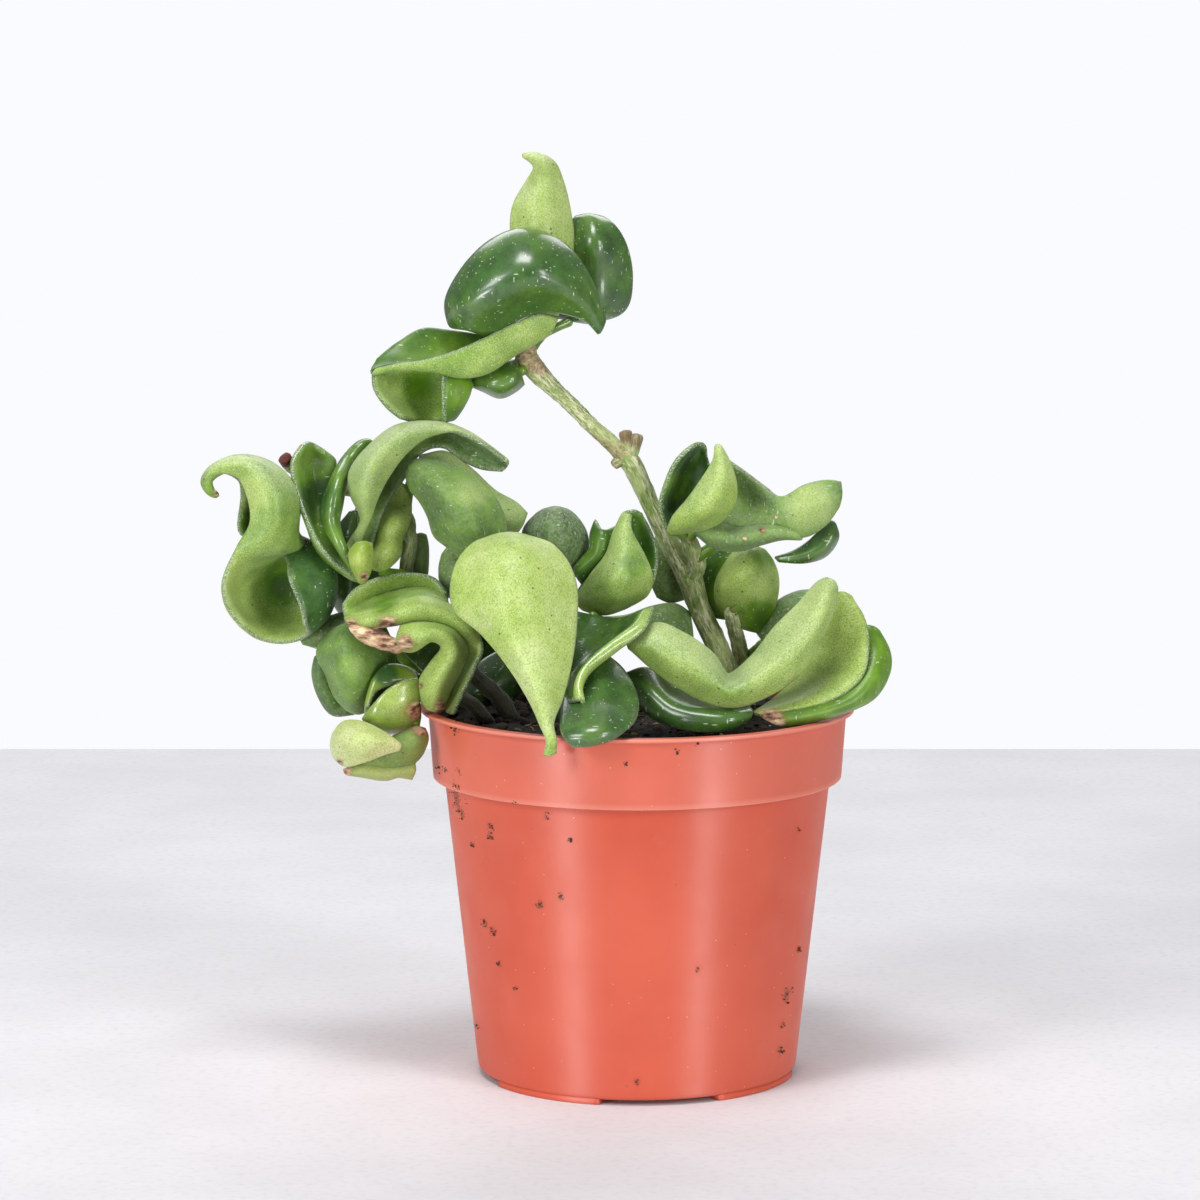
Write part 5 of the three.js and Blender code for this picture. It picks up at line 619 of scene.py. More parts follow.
RIGHT_LEAVES = [
    ("right_vee", "light", [(27, 108, 10), (26.5, 107.5, -4), (26, 107, -20)], (4, 1), [(DOWN, [
        [(-2.9, 119.9, -34), (-2.9, 119.5, -34.7), (-2.4, 118.9, -34)],
        [(5, 125.7, -33), (4, 119.5, -38), (3, 113.7, -34)],
        [(13, 122.7, -33), (12, 114.5, -41), (11, 107.8, -36)],
        [(20.7, 117, -31), (20, 110, -42), (18.5, 103.7, -37)],
        [(25, 111, -27), (26, 106.5, -41), (26.5, 102, -38)],
        [(32, 116.5, -28), (34, 110.5, -40), (35, 104.5, -37)],
        [(38, 124.5, -28), (42, 116.5, -39), (44.5, 110.8, -35)],
        [(44.5, 131, -26), (48.5, 124.5, -36), (51.2, 122, -32)],
        [(50, 137, -24), (52.3, 133.5, -31), (54.4, 130.5, -28)],
        [(52.5, 138, -24), (54.2, 137.2, -26.5), (55, 135.3, -26)],
    ])]),
    ("right_cupped", "light", [(29.5, 108, 18), (37, 112, 8), (43, 116, -4)], (2, 0), [(UP, [
        [(54.5, 134, -14), (57, 134.3, -16), (59, 132.9, -16)],
        [(50, 127, -13), (57, 126.3, -19), (63, 126.5, -20)],
        [(46, 118, -14), (56, 117, -19), (64, 118, -24)],
        [(43, 110, -17), (53, 109.5, -24), (62.3, 110.5, -27)],
        [(38, 104.5, -22), (47, 104.5, -29), (55, 104.3, -30)],
        [(34.5, 102, -30), (39, 101.5, -33), (43, 100.8, -33)],
        [(32, 100.5, -36), (33, 100.2, -36.5), (34, 99.9, -36)],
    ]), (DOWN, [
        [(60, 124, -15), (64, 125, -17), (66.3, 123.6, -15)],
        [(59, 118, -16), (66, 118.5, -20), (69.6, 117.5, -16)],
        [(57, 111.5, -19), (65, 111.5, -25), (69.8, 112.5, -18)],
        [(53, 106, -24), (61, 105, -29), (66, 105.2, -23)],
        [(46, 102.5, -28), (53, 101.2, -32), (57.5, 101, -26)],
        [(38, 100.7, -32), (43, 99, -35), (47, 98, -31)],
        [(34, 99.8, -36), (36.5, 98, -36.5), (39, 97, -35)],
    ])]),
    ("right_low_glossy", "dark", [(27.5, 105, 9), (20, 105, -6)], (2, 0), [(UP, [
        [(-3.5, 111.5, -26), (-2.5, 110, -27), (-1, 109, -27)],
        [(2.5, 113, -26), (2.5, 107, -33), (1, 101.5, -33)],
        [(10, 107, -25), (9.5, 101.7, -38), (8, 97, -38)],
        [(18, 104, -22), (18, 99.5, -41), (18, 95, -41)],
        [(26, 102.5, -24), (26, 99, -41), (26, 95.8, -40)],
        [(31.5, 101.3, -28), (32, 100.5, -36), (31.3, 98.8, -37)],
    ])]),
    ("right_round", "light", [(25.8, 128.3, 2.2)], (1, 1), [(DOWN, [
        [(25, 126.5, 10), (29, 124, 8), (34, 122.5, 10)],
        [(21.4, 132.5, 9), (29.5, 131, 2), (38, 130, 9)],
        [(22, 138, 9.5), (30, 138.5, -2), (38.8, 138, 10)],
        [(25, 143.3, 10), (31, 144, 1), (37, 143, 10)],
        [(28.5, 146.5, 10), (31.5, 147, 6), (34.5, 146, 10)],
    ]), (UP, [
        [(21, 127, 13), (24, 126.5, 11), (30, 126, 8)],
        [(18.4, 134, 14), (23, 134, 10), (30, 134, 12)],
        [(18, 141, 14), (23, 141, 9), (31, 141, 11)],
        [(21, 145.8, 14), (25, 146.4, 11), (31, 146.3, 10)],
    ])]),
    ("right_grey", "dusty", [(29.5, 115, 20), (32, 117.5, 16)], (0, 1), [(UP, [
        [(33, 122.5, 11), (35, 120, 8), (37, 118, 10)],
        [(38, 131, 11), (41, 126, 4), (44, 121, 9)],
        [(44, 134.3, 10), (46, 129, 4), (49, 124, 8)],
        [(50, 134.8, 10), (51, 131, 6), (53, 127, 8)],
    ])]),
    ("branch_upright", "light", [(13.2, 149.5, -3), (12, 150.5, -5)], (0, 1), [(UP, [
        [(7.8, 151.7, -8.5), (8.6, 151.2, -8), (9.8, 151, -7.5)],
        [(6.2, 157.5, -9), (10, 158, -1), (15, 157, -2)],
        [(7.8, 164.5, -9), (12.5, 165, 1), (18.5, 163, -1)],
        [(10.8, 170.8, -8), (15, 170, 0), (20, 168, 0)],
        [(15.3, 174.7, -6), (17.3, 173.7, -1), (19.3, 171.5, 0)],
        [(17.3, 175.3, -5), (18, 175, -4), (18.7, 174, -2)],
    ]), (UP, [
        [(21.5, 174.5, -12), (22, 175, -12.5), (22.6, 174.3, -12)],
        [(21, 171, -14), (23, 170.3, -17), (25, 170.3, -13)],
        [(18, 166, -15), (22.5, 163.5, -20), (27, 164, -13)],
        [(13.7, 160, -15), (19, 157.5, -20), (26.7, 158.7, -12)],
        [(9.7, 155.3, -13), (14, 153.5, -16), (22, 153.2, -11)],
        [(7.8, 150.9, -9), (8.8, 150.7, -8.8), (11.5, 150.9, -8)],
    ])]),
    ("branch_long", "dusty", [(13.5, 148.5, -3), (16, 151, -4)], (0, 2), [(UP, [
        [(22, 173, -7), (21, 163, -4), (20, 153.5, -6)],
        [(29, 168, -8), (28, 160, -3), (27, 151.7, -7)],
        [(35, 163.5, -9), (34, 158, -6), (33, 152.3, -9)],
        [(39.5, 160.7, -10), (39, 157, -11), (38, 152.2, -11)],
        [(46, 164, -11), (46.5, 157, -14), (45.5, 149.3, -12)],
        [(52, 165.2, -11), (52.5, 160, -14.5), (51.3, 152.3, -12)],
        [(56, 164.7, -11), (56.3, 161.5, -13), (55.3, 158, -12)],
    ]), (UP, [
        [(15.3, 151.3, -8), (15.6, 151, -9), (16.2, 150.6, -8)],
        [(21, 153.3, -6.2), (21.3, 149.9, -12.5), (21, 146.5, -9)],
        [(27.5, 151.7, -7.3), (28, 148.7, -15), (28, 145.8, -10)],
        [(33.5, 152.3, -9.2), (34, 150, -15.3), (34, 147.5, -11)],
        [(38.5, 152.1, -11.2), (39.5, 150.5, -14.5), (40, 149, -11.5)],
        [(44.5, 149.8, -12), (45, 149.4, -12.8), (45.5, 149, -12)],
    ])]),
    ("branch_small", "dark",
     [(15.5, 143, 3), (24, 149, 1), (34, 153, -2), (45, 153, -5)], (0, 1), [(DOWN, [
        [(52, 153, -6), (53.3, 154, -6.5), (54, 153.3, -5.5)],
        [(49.5, 150.5, -7), (53, 149.5, -10), (55.1, 149.5, -6)],
        [(46.5, 147.8, -8), (50, 145.8, -11), (52, 144.5, -7)],
        [(42.5, 145.3, -8), (45, 143.9, -10.5), (46.5, 142.6, -8)],
        [(37.8, 143.6, -8), (38.2, 143.3, -8.6), (38.8, 143, -8)],
    ])]),
    ("behind_stem", "dusty", [(15.5, 137, 10), (15.5, 137, 14)], (2, 2), [(DOWN, [
        [(5, 150, 15), (8, 151, 14), (11, 150, 16)],
        [(3.8, 144, 15), (8, 144, 11.5), (13, 143, 16)],
        [(3.5, 138, 15), (8, 137, 11.5), (14, 137, 16)],
        [(5.5, 132.8, 16), (9, 131.2, 14), (13, 132, 17)],
    ])]),
]

BACK_LEAVES = [
    ("back_left", "dark", [(-25.5, 109, 30), (-31, 110, 32)], (0, 1), [(UP, [
        [(-33, 107, 32), (-33.5, 112, 34), (-34, 118, 33)],
        [(-41, 105.5, 34), (-41, 114, 39), (-41.5, 124, 34)],
        [(-49, 106, 31), (-48, 115, 37), (-48.5, 125, 32)],
        [(-57, 107.5, 25), (-56, 115, 30), (-56, 123, 26)],
        [(-64, 109.5, 18), (-63.5, 115, 21), (-62, 120.5, 19)],
        [(-68.5, 113, 14), (-68, 115.5, 15), (-67.5, 118, 14)],
    ])]),
    ("back_inner", "dark", [(-25.5, 111, 29), (-30, 115, 22)], (0, 2), [(UP, [
        [(-30, 113, 16), (-33, 116, 12), (-36, 119, 14)],
        [(-32, 106, 12), (-38, 110, 6), (-43, 115, 12)],
        [(-38, 103, 10), (-42, 107, 4), (-46, 111, 10)],
        [(-44, 102.5, 8), (-46, 104.5, 5), (-48, 107, 8)],
    ])]),
    ("back_middle", "dusty", [(-25, 110, 31), (-22, 113, 36)], (0, 1), [(DOWN, [
        [(-17, 117, 42), (-15, 114, 43), (-13, 112, 42)],
        [(-19, 121, 50), (-14, 116, 54), (-9.5, 112, 48)],
        [(-22, 121, 56), (-18, 116, 60), (-14, 111, 54)],
        [(-24, 118, 60), (-22, 115, 62), (-20, 112, 60)],
    ])]),
    ("back_right", "dark", [(30, 109, 21), (32, 112, 27)], (0, 1), [(UP, [
        [(31, 116, 33), (34, 114.5, 35), (37, 113, 33)],
        [(34, 121, 40), (41, 117.5, 46), (47, 113, 38)],
        [(41, 122, 42), (47, 118, 48), (53, 113, 38)],
        [(50, 120, 40), (53, 117.5, 43), (56, 114, 38)],
    ])]),
    ("back_low", "light", [(-24, 105, 31), (-17, 106.5, 36)], (0, 1), [(UP, [
        [(-12, 107, 38), (-9, 108, 41), (-7, 110, 42)],
        [(-4, 104.5, 40), (-1, 107, 46), (0, 111, 45)],
        [(6, 104.5, 40), (8, 107, 46), (9, 111, 45)],
        [(15, 106, 38), (16, 107.5, 41), (17, 110, 41)],
    ])]),
]

STEMS = [
    ("stem_main", [
        ([(29.5, 97, 12), (27.5, 104, 12), (24.6, 113, 11.5), (21.7, 120, 11), (17, 130, 10),
          (14, 139, 8.5), (10.3, 145, 7.5), (7.2, 151, 7), (2.9, 160, 6), (-1.9, 170, 5), (-6.8, 175, 4),
          (-12.4, 180, 3), (-17.3, 185, 2), (-22.5, 190, 1), (-27.5, 195, 0), (-30.3, 199, 0),
          (-30, 203, 0)],
         [3.2, 3.2, 3.1, 3.1, 3, 3.6, 2.9, 2.7, 2.5, 2.9, 2.3, 2.1, 2.1, 2.2, 3, 3.3, 2.1]),
        ([(14.5, 138, 8.5), (16.3, 142, 5.5), (14.8, 147, 1), (13, 151, -3)],
         [2.9, 2.7, 2.4, 2.1]),
        ([(-3, 172, 4.5), (-3, 176, 4), (-3.6, 179, 4)],
         [2, 1.6, 2]),
        ([(-2, 172, 4.5), (-0.6, 175, 3.5), (0, 178, 3)],
         [1.9, 1.6, 1.8]),
        ([(-3, 171, 4.5), (-5.6, 170, 3.6), (-6.8, 169, 3.2)],
         [1.8, 1.6, 1.3]),
    ]),
    ("stem_right", [
        ([(30.5, 97, 21), (30, 107, 20.5), (29, 115, 18.5), (27.5, 121.5, 12), (26.3, 126, 5),
          (25.4, 129, 1.5)],
         [2.5, 2.4, 2.3, 2.2, 2, 1.6]),
    ]),
    ("stem_left", [
        ([(-34, 95, 4), (-37, 103, 3), (-46, 112, 0), (-57, 126, -2), (-63.5, 138, -2), (-62.5, 149, -2),
          (-64, 156, 1), (-73, 161, 5), (-86, 164, 7), (-94, 168, 4), (-97.2, 171.5, 0)],
         [2.4, 2.4, 2.2, 2.1, 2, 1.9, 1.8, 1.8, 1.8, 1.8, 1.9]),
    ]),
    ("stem_low_left", [
        ([(-40, 96, -4), (-46, 103, -6), (-54, 106, -8), (-61, 105.5, -11), (-65.5, 103.5, -12.5)],
         [2, 2, 1.9, 1.7, 1.3]),
    ]),
    ("stem_centre", [
        ([(-24, 96, 0), (-25, 112, 0), (-28, 125, -4), (-32, 137, -7), (-37.5, 146, -9)],
         [2.5, 2.5, 2.3, 2.1, 1.7]),
    ]),
    ("stem_inner", [
        ([(-17, 96, 2), (-15.5, 110, -2), (-13.5, 122, -4), (-10.5, 131, -5)],
         [2.1, 2.1, 2, 1.7]),
    ]),
    ("stem_back", [
        ([(-22, 97, 30), (-24.5, 105, 30), (-25.5, 112, 29.5)],
         [2, 1.9, 1.6]),
    ]),
]


def seen(points):
    """Places in millimetres of points [X, Z, depth]."""
    points = np.asarray(points, float)
    depth = points[..., 2]
    scale = 1 - depth / VIEWPOINT[1]
    return np.stack([
        VIEWPOINT[0] + (points[..., 0] - VIEWPOINT[0]) * scale,
        depth,
        VIEWPOINT[2] + (points[..., 1] - VIEWPOINT[2]) * scale,
    ], axis=-1)


def as_seen(points):
    """Across and up in the plane of the pot's axis, as seen from the viewpoint, of places in millimetres."""
    scale = 1 - points[:, 1:2] / VIEWPOINT[1]
    return VIEWPOINT[[0, 2]] + (points[:, [0, 2]] - VIEWPOINT[[0, 2]]) / scale


def smooth_line(rows, stops):
    """Rows of points along a smooth line through the given rows, one for each stop from 0 to 1."""
    last = len(rows) - 1
    before = np.clip(np.floor(stops * last).astype(int), 0, last - 1)
    share = (stops * last - before).reshape((-1,) + (1,) * (rows.ndim - 1))
    padded = np.concatenate([[2 * rows[0] - rows[1]], rows, [2 * rows[-1] - rows[-2]]])
    p0, p1, p2, p3 = (padded[before + k] for k in range(4))
    d0, d1, d2 = (np.sqrt(np.linalg.norm(b - a, axis=-1, keepdims=True)) + 1e-6
                  for a, b in ((p0, p1), (p1, p2), (p2, p3)))
    start = ((p1 - p0) / d0 - (p2 - p0) / (d0 + d1) + (p2 - p1) / d1) * d1
    end = ((p2 - p1) / d1 - (p3 - p1) / (d1 + d2) + (p3 - p2) / d2) * d1
    return (p1 + start * share + (3 * (p2 - p1) - 2 * start - end) * share ** 2
            + (2 * (p1 - p2) + start + end) * share ** 3)


def denser_at_ends(count):
    """Stops from 0 to 1 that lie closer together towards both ends."""
    even = np.linspace(0, 1, count + 1)
    return 0.35 * even + 0.65 * (0.5 - 0.5 * np.cos(np.pi * even))


def unit(vectors):
    return vectors / np.maximum(np.linalg.norm(vectors, axis=-1, keepdims=True), 1e-9)


def noise_at(points, size, seed=0):
    """Smooth noise of about -1 to 1 whose bumps are about size millimetres across."""
    flat = np.asarray(points, float).reshape(-1, 3) / size + 17.3 * seed
    values = np.array([noise.noise(Vector(p)) for p in flat])
    return values.reshape(np.shape(points)[:-1])


def rise(values, low, high):
    """0 below low, 1 above high, and smooth between them."""
    share = np.clip((values - low) / (high - low), 0, 1)
    return share * share * (3 - 2 * share)


def near(distance, spread, power=2):
    """1 where the distance is 0, falling to almost nothing at twice the spread."""
    return np.exp(-(distance / spread) ** power)


def circle(sides):
    """Angles of that many points round a circle."""
    return 2 * np.pi * np.arange(sides) / sides


def grid_faces(rows, columns, start=0, closed=False, flipped=False):
    """Quads over a grid of points, given row by row. Closed joins the last column to the first."""
    faces = []
    for i in range(rows - 1):
        for j in range(columns if closed else columns - 1):
            a, b = start + i * columns + j, start + i * columns + (j + 1) % columns
            face = (a, b, b + columns, a + columns)
            faces.append(face[::-1] if flipped else face)
    return faces


def tube_faces(rings, sides):
    """Quads round a tube of rings of points, and one face over each end."""
    last = (rings - 1) * sides
    ends = [tuple(range(sides))[::-1], tuple(range(last, last + sides))]
    return grid_faces(rings, sides, closed=True) + ends


class Piece:
    """Collects the meshes and vertex marks of one piece, then makes its object."""

    def __init__(self, marks=()):
        self.points = []
        self.faces = []
        self.marks = {mark: [] for mark in marks}
        self.count = 0

    def add(self, points, faces, **marks):
        points = np.asarray(points, float).reshape(-1, 3)
        self.points.append(points)
        self.faces.extend([tuple(self.count + k for k in face) for face in faces])
        for mark, values in self.marks.items():
            values.append(np.broadcast_to(np.asarray(marks.get(mark, 0), float), len(points)))
        self.count += len(points)

    def plain_object(self, name):
        mesh = bpy.data.meshes.new(name)
        mesh.from_pydata((np.concatenate(self.points) * MM).tolist(), [], self.faces)
        mesh.polygons.foreach_set("use_smooth", [True] * len(mesh.polygons))
        for mark, values in self.marks.items():
            attribute = mesh.attributes.new(mark, "FLOAT", "POINT")
            attribute.data.foreach_set("value", np.concatenate(values).astype(np.float32))
        piece = bpy.data.objects.new(name, mesh)
        bpy.context.scene.collection.objects.link(piece)
        return piece

    def make(self, name, material, slot, *nodes):
        piece = self.plain_object(name)
        piece.data.materials.append(material)
        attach(piece, "root")
        if nodes:
            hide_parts(*nodes)
        return piece


def round_directions(line, sides, aside):
    """For each point of a line, unit vectors to the sides of a rod round it, and their angles. Aside is a
    direction that the line never takes."""
    tangent = unit(np.gradient(line, axis=0))
    side = unit(np.cross(tangent, aside))
    other = np.cross(tangent, side)
    angle = circle(sides)
    return side[:, None] * np.cos(angle)[None, :, None] + other[:, None] * np.sin(angle)[None, :, None], angle


def rod_mesh(line, radii, sides, step, roughness, seed):
    """A rough round rod along a smooth line with rounded ends. Returns points, faces, and for each point how
    far along it is in millimetres and its angle round the rod."""
    line = seen(line)
    length = np.linalg.norm(np.diff(line, axis=0), axis=1).sum()
    count = max(6, int(length / step))
    stops = denser_at_ends(count)
    centre = smooth_line(line, stops)
    radius = np.interp(stops * (len(radii) - 1), range(len(radii)), radii)
    to_end = np.minimum(stops, 1 - stops) * length
    open_share = np.clip(to_end / (ROD_END_LENGTH * radius), 0, 1)
    radius = radius * np.sqrt(1 - (1 - open_share) ** 2 * ROD_END_CLOSING)
    around, angle = round_directions(centre, sides, ROD_ASIDE)
    points = centre[:, None] + around * radius[:, None, None]
    (long_size, long_height), (short_size, short_height) = ROD_BUMPS
    bumps = (long_height * noise_at(points * [1, 1, 0.45], long_size, seed)
             + short_height * noise_at(points, short_size, seed + 1))
    points = points + around * (roughness * bumps)[..., None]
    along = np.repeat(stops * length, sides)
    return points.reshape(-1, 3), tube_faces(count + 1, sides), along, np.tile(angle, count + 1)


def net_distances(middle):
    """For a fine net of points, the way from its first column, and the way to its nearest edge."""
    rows, columns = middle.shape[:2]
    crosswise = np.linalg.norm(np.diff(middle, axis=1), axis=2)
    lengthwise = np.linalg.norm(np.diff(middle, axis=0), axis=2)
    from_left = np.concatenate([np.zeros((rows, 1)), np.cumsum(crosswise, axis=1)], axis=1)
    from_base = np.concatenate([np.zeros((1, columns)), np.cumsum(lengthwise, axis=0)], axis=0)
    to_margin = np.minimum.reduce([from_left, from_left[:, -1:] - from_left,
                                   from_base, from_base[-1:] - from_base])
    return from_left, to_margin


def blade_faces(rows, columns):
    """Quads over both faces of a blade and round its margin."""
    back = rows * columns
    along, across = rows - 1, columns - 1
    rim = ([j for j in range(across)] + [i * columns + across for i in range(along)]
           + [along * columns + j for j in range(across, 0, -1)] + [i * columns for i in range(along, 0, -1)])
    margin = [(b, a, a + back, b + back) for a, b in zip(rim, rim[1:] + rim[:1])]
    return grid_faces(rows, columns) + grid_faces(rows, columns, start=back, flipped=True) + margin


def blade_mesh(net, seed):
    """The two faces and the rounded margin of a leaf blade. Returns points, faces and marks: which face a
    point is on, how near the margin and the midrib, the share along, the way from the last margin, and how
    far up the face looks."""
    net = seen(net)
    rows = min(MOST_ROWS, FINE_ROWS * (len(net) - 1)) + 1
    columns = max(FEWEST_COLUMNS, FINE_COLUMNS * (net.shape[1] - 1)) + 1
    long_stops = denser_at_ends(rows - 1)
    crossed = smooth_line(net.swapaxes(0, 1), denser_at_ends(columns - 1)).swapaxes(0, 1)
    middle = smooth_line(crossed, long_stops)
    from_left, to_margin = net_distances(middle)
    normal = unit(np.cross(np.gradient(middle, axis=1), np.gradient(middle, axis=0)))
    waves = sum(height * noise_at(middle, size, seed + 3 * k) for k, (size, height) in enumerate(BLADE_WAVES))
    middle = middle + normal * (waves * rise(to_margin, *BLADE_WAVE_RISE))[..., None]
    inward = np.clip(to_margin / MARGIN_ROUNDING, 0, 1)
    swell = (LEAF_HALF_THICKNESS - MARGIN_HALF_THICKNESS) * np.sqrt(1 - (1 - inward) ** 2)
    half = (MARGIN_HALF_THICKNESS + swell)[..., None]
    points = np.concatenate([(middle + side * normal * half).reshape(-1, 3) for side in (1, -1)])
    width = np.maximum(from_left[:, -1:], 1e-6)
    off_rib = np.abs(from_left / width - 0.5) * width
    return points, blade_faces(rows, columns), {
        "face": np.repeat([1.0, -1.0], rows * columns),
        "margin": np.tile(near(to_margin, PALE_MARGIN_WIDTH).ravel(), 2),
        "rib": np.tile((near(off_rib, RIB_WIDTH) * rise(to_margin, *RIB_RISE)).ravel(), 2),
        "along": np.tile(np.repeat(long_stops, columns), 2),
        "from_last": np.tile((from_left[:, -1:] - from_left).ravel(), 2),
        "up": np.concatenate([normal[..., 2].ravel(), -normal[..., 2].ravel()]),
    }


def colour(red, green, blue):
    """A colour given as it shows on screen, from 0 to 255, as the shader's linear values."""
    shown = np.array([red, green, blue]) / 255
    linear = np.where(shown <= 0.04045, shown / 12.92, ((shown + 0.055) / 1.055) ** 2.4)
    return (*linear.tolist(), 1)


class Look:
    """A procedural material, put together from short steps that each return an output socket."""

    def __init__(self, name, roughness, specular, **more):
        self.material = bpy.data.materials.new(name)
        self.material.use_nodes = True
        self.nodes = self.material.node_tree.nodes
        self.links = self.material.node_tree.links
        self.surface = self.nodes["Principled BSDF"]
        self.set_surface(roughness=roughness, specular_ior_level=specular, **more)
        self.place = self.nodes.new("ShaderNodeTexCoord").outputs["Object"]

    def set_surface(self, **values):
        """Sets the shader's own sockets. A socket is named in lower case, with its words joined."""
        sockets = {socket.name.lower().replace(" ", "_"): socket for socket in self.surface.inputs}
        for name, value in values.items():
            sockets[name].default_value = value

    def follow(self, marks):
        """Lets the textures that come next run along three marks, in millimetres, instead of across space."""
        node = self.nodes.new("ShaderNodeCombineXYZ")
        for socket, name in zip(node.inputs, marks):
            self.links.new(self.times(self.mark(name), MM), socket)
        self.place = node.outputs[0]

    def put(self, socket, value):
        if isinstance(value, bpy.types.NodeSocket):
            self.links.new(value, socket)
        else:
            socket.default_value = value

    def mark(self, name):
        node = self.nodes.new("ShaderNodeAttribute")
        node.attribute_name = name
        return node.outputs["Fac"]

    def math(self, kind, a, b, clamp=False):
        node = self.nodes.new("ShaderNodeMath")
        node.operation = kind
        node.use_clamp = clamp
        self.put(node.inputs[0], a)
        self.put(node.inputs[1], b)
        return node.outputs[0]

    def add(self, a, b):
        return self.math("ADD", a, b)

    def times(self, a, b):
        return self.math("MULTIPLY", a, b)

    def ramp(self, value, low, high, start=0.0, end=1.0):
        """start below low, end above high, and a smooth change between them."""
        node = self.nodes.new("ShaderNodeMapRange")
        node.interpolation_type = "SMOOTHSTEP"
        self.put(node.inputs["Value"], value)
        for socket, number in zip(("From Min", "From Max", "To Min", "To Max"), (low, high, start, end)):
            self.put(node.inputs[socket], number)
        return node.outputs["Result"]

    def scaled(self, stretch, turn=(0, 0, 0)):
        node = self.nodes.new("ShaderNodeMapping")
        node.inputs["Scale"].default_value = stretch
        node.inputs["Rotation"].default_value = turn
        self.put(node.inputs["Vector"], self.place)
        return node.outputs["Vector"]

    def noise(self, size, detail=3.0, roughness=0.5, stretch=None):
        """Cloudy noise of 0 to 1 with bumps about size millimetres across."""
        node = self.nodes.new("ShaderNodeTexNoise")
        self.put(node.inputs["Vector"], self.scaled(stretch) if stretch else self.place)
        node.inputs["Scale"].default_value = 1 / (size * MM)
        node.inputs["Detail"].default_value = detail
        node.inputs["Roughness"].default_value = roughness
        return node.outputs["Fac"]

    def spots(self, spacing, radius, share, stretch=(1, 1, 1), turn=(0, 0, 0)):
        """1 in small spots about spacing millimetres apart, of which only that share are there. A stretch
        squeezes them along each axis of the turned space by that much."""
        node = self.nodes.new("ShaderNodeTexVoronoi")
        self.put(node.inputs["Vector"], self.scaled(stretch, turn))
        node.inputs["Scale"].default_value = 1 / (spacing * MM)
        within = self.ramp(node.outputs["Distance"], radius * 0.5, radius, 1.0, 0.0)
        chosen = self.nodes.new("ShaderNodeSeparateColor")
        self.links.new(node.outputs["Color"], chosen.inputs["Color"])
        return self.times(within, self.math("LESS_THAN", chosen.outputs[0], share))

    def mix(self, share, a, b):
        node = self.nodes.new("ShaderNodeMix")
        node.data_type = "RGBA"
        self.put(node.inputs[0], share)
        self.put(node.inputs[6], a)
        self.put(node.inputs[7], b)
        return node.outputs[2]

    def bump(self, height, depth):
        """Raises the surface by up to depth millimetres where height is 1."""
        node = self.nodes.new("ShaderNodeBump")
        node.inputs["Distance"].default_value = depth * MM
        self.put(node.inputs["Height"], height)
        self.links.new(node.outputs["Normal"], self.surface.inputs["Normal"])

    def finish(self, base, roughness):
        self.put(self.surface.inputs["Base Color"], base)
        self.put(self.surface.inputs["Roughness"], roughness)
        return self.material


# Greens of a leaf from dark to cream, each in its darker and its lighter patches
LEAF_GREENS = [
    (colour(32, 72, 16), colour(50, 96, 28)),
    (colour(86, 128, 18), colour(114, 155, 32)),
    (colour(152, 181, 72), colour(172, 196, 96)),
    (colour(206, 214, 154), colour(218, 226, 174)),
]


def leaf_look(name, roughness, specular, gloss, sheen):
    """The waxy skin of a leaf: a dark upper side, a pale underside, and the marks of age and damage."""
    look = Look(name, roughness, specular, coat_weight=gloss, coat_roughness=0.2,
                sheen_weight=sheen, sheen_roughness=0.45, subsurface_weight=0.08,
                subsurface_radius=(0.4, 1.0, 0.2), subsurface_scale=0.0015)
    broad, patchy, fine, grit = look.noise(11), look.noise(4.5, 3), look.noise(0.5, 3), look.noise(0.3, 2)
    lightness = look.add(look.mark("tone"), look.ramp(broad, 0.25, 0.75, -0.2, 0.2))
    dust = look.times(look.mark("dust"), look.ramp(look.noise(0.9, 6, 0.75), 0.38, 0.64, 0.15, 1.1))
    base = leaf_greens(look, lightness, look.ramp(patchy, 0.3, 0.72))
    base = leaf_skin(look, base, lightness, fine, grit)
    base = leaf_edges(look, base, grit)
    base = leaf_age(look, base, lightness, dust)
    base, dry = dry_tissue(look, base)
    relief = look.add(look.times(patchy, 0.35), look.add(look.times(fine, 0.22), look.times(dry, 0.6)))
    look.bump(relief, 0.3)
    rough = look.ramp(lightness, 0.9, 1.7, roughness, 0.5)
    rough = look.add(rough, look.add(look.times(dust, 0.2), look.times(dry, 0.3)))
    return look.finish(base, look.add(rough, look.ramp(broad, 0.2, 0.8, -0.03, 0.05)))


def leaf_greens(look, lightness, patches):
    """The green for a lightness of 0 for dark to 3 for cream."""
    greens = [look.mix(patches, *pair) for pair in LEAF_GREENS]
    base = greens[0]
    for step, green in enumerate(greens[1:]):
        base = look.mix(look.ramp(lightness, step, step + 1), base, green)
    return base


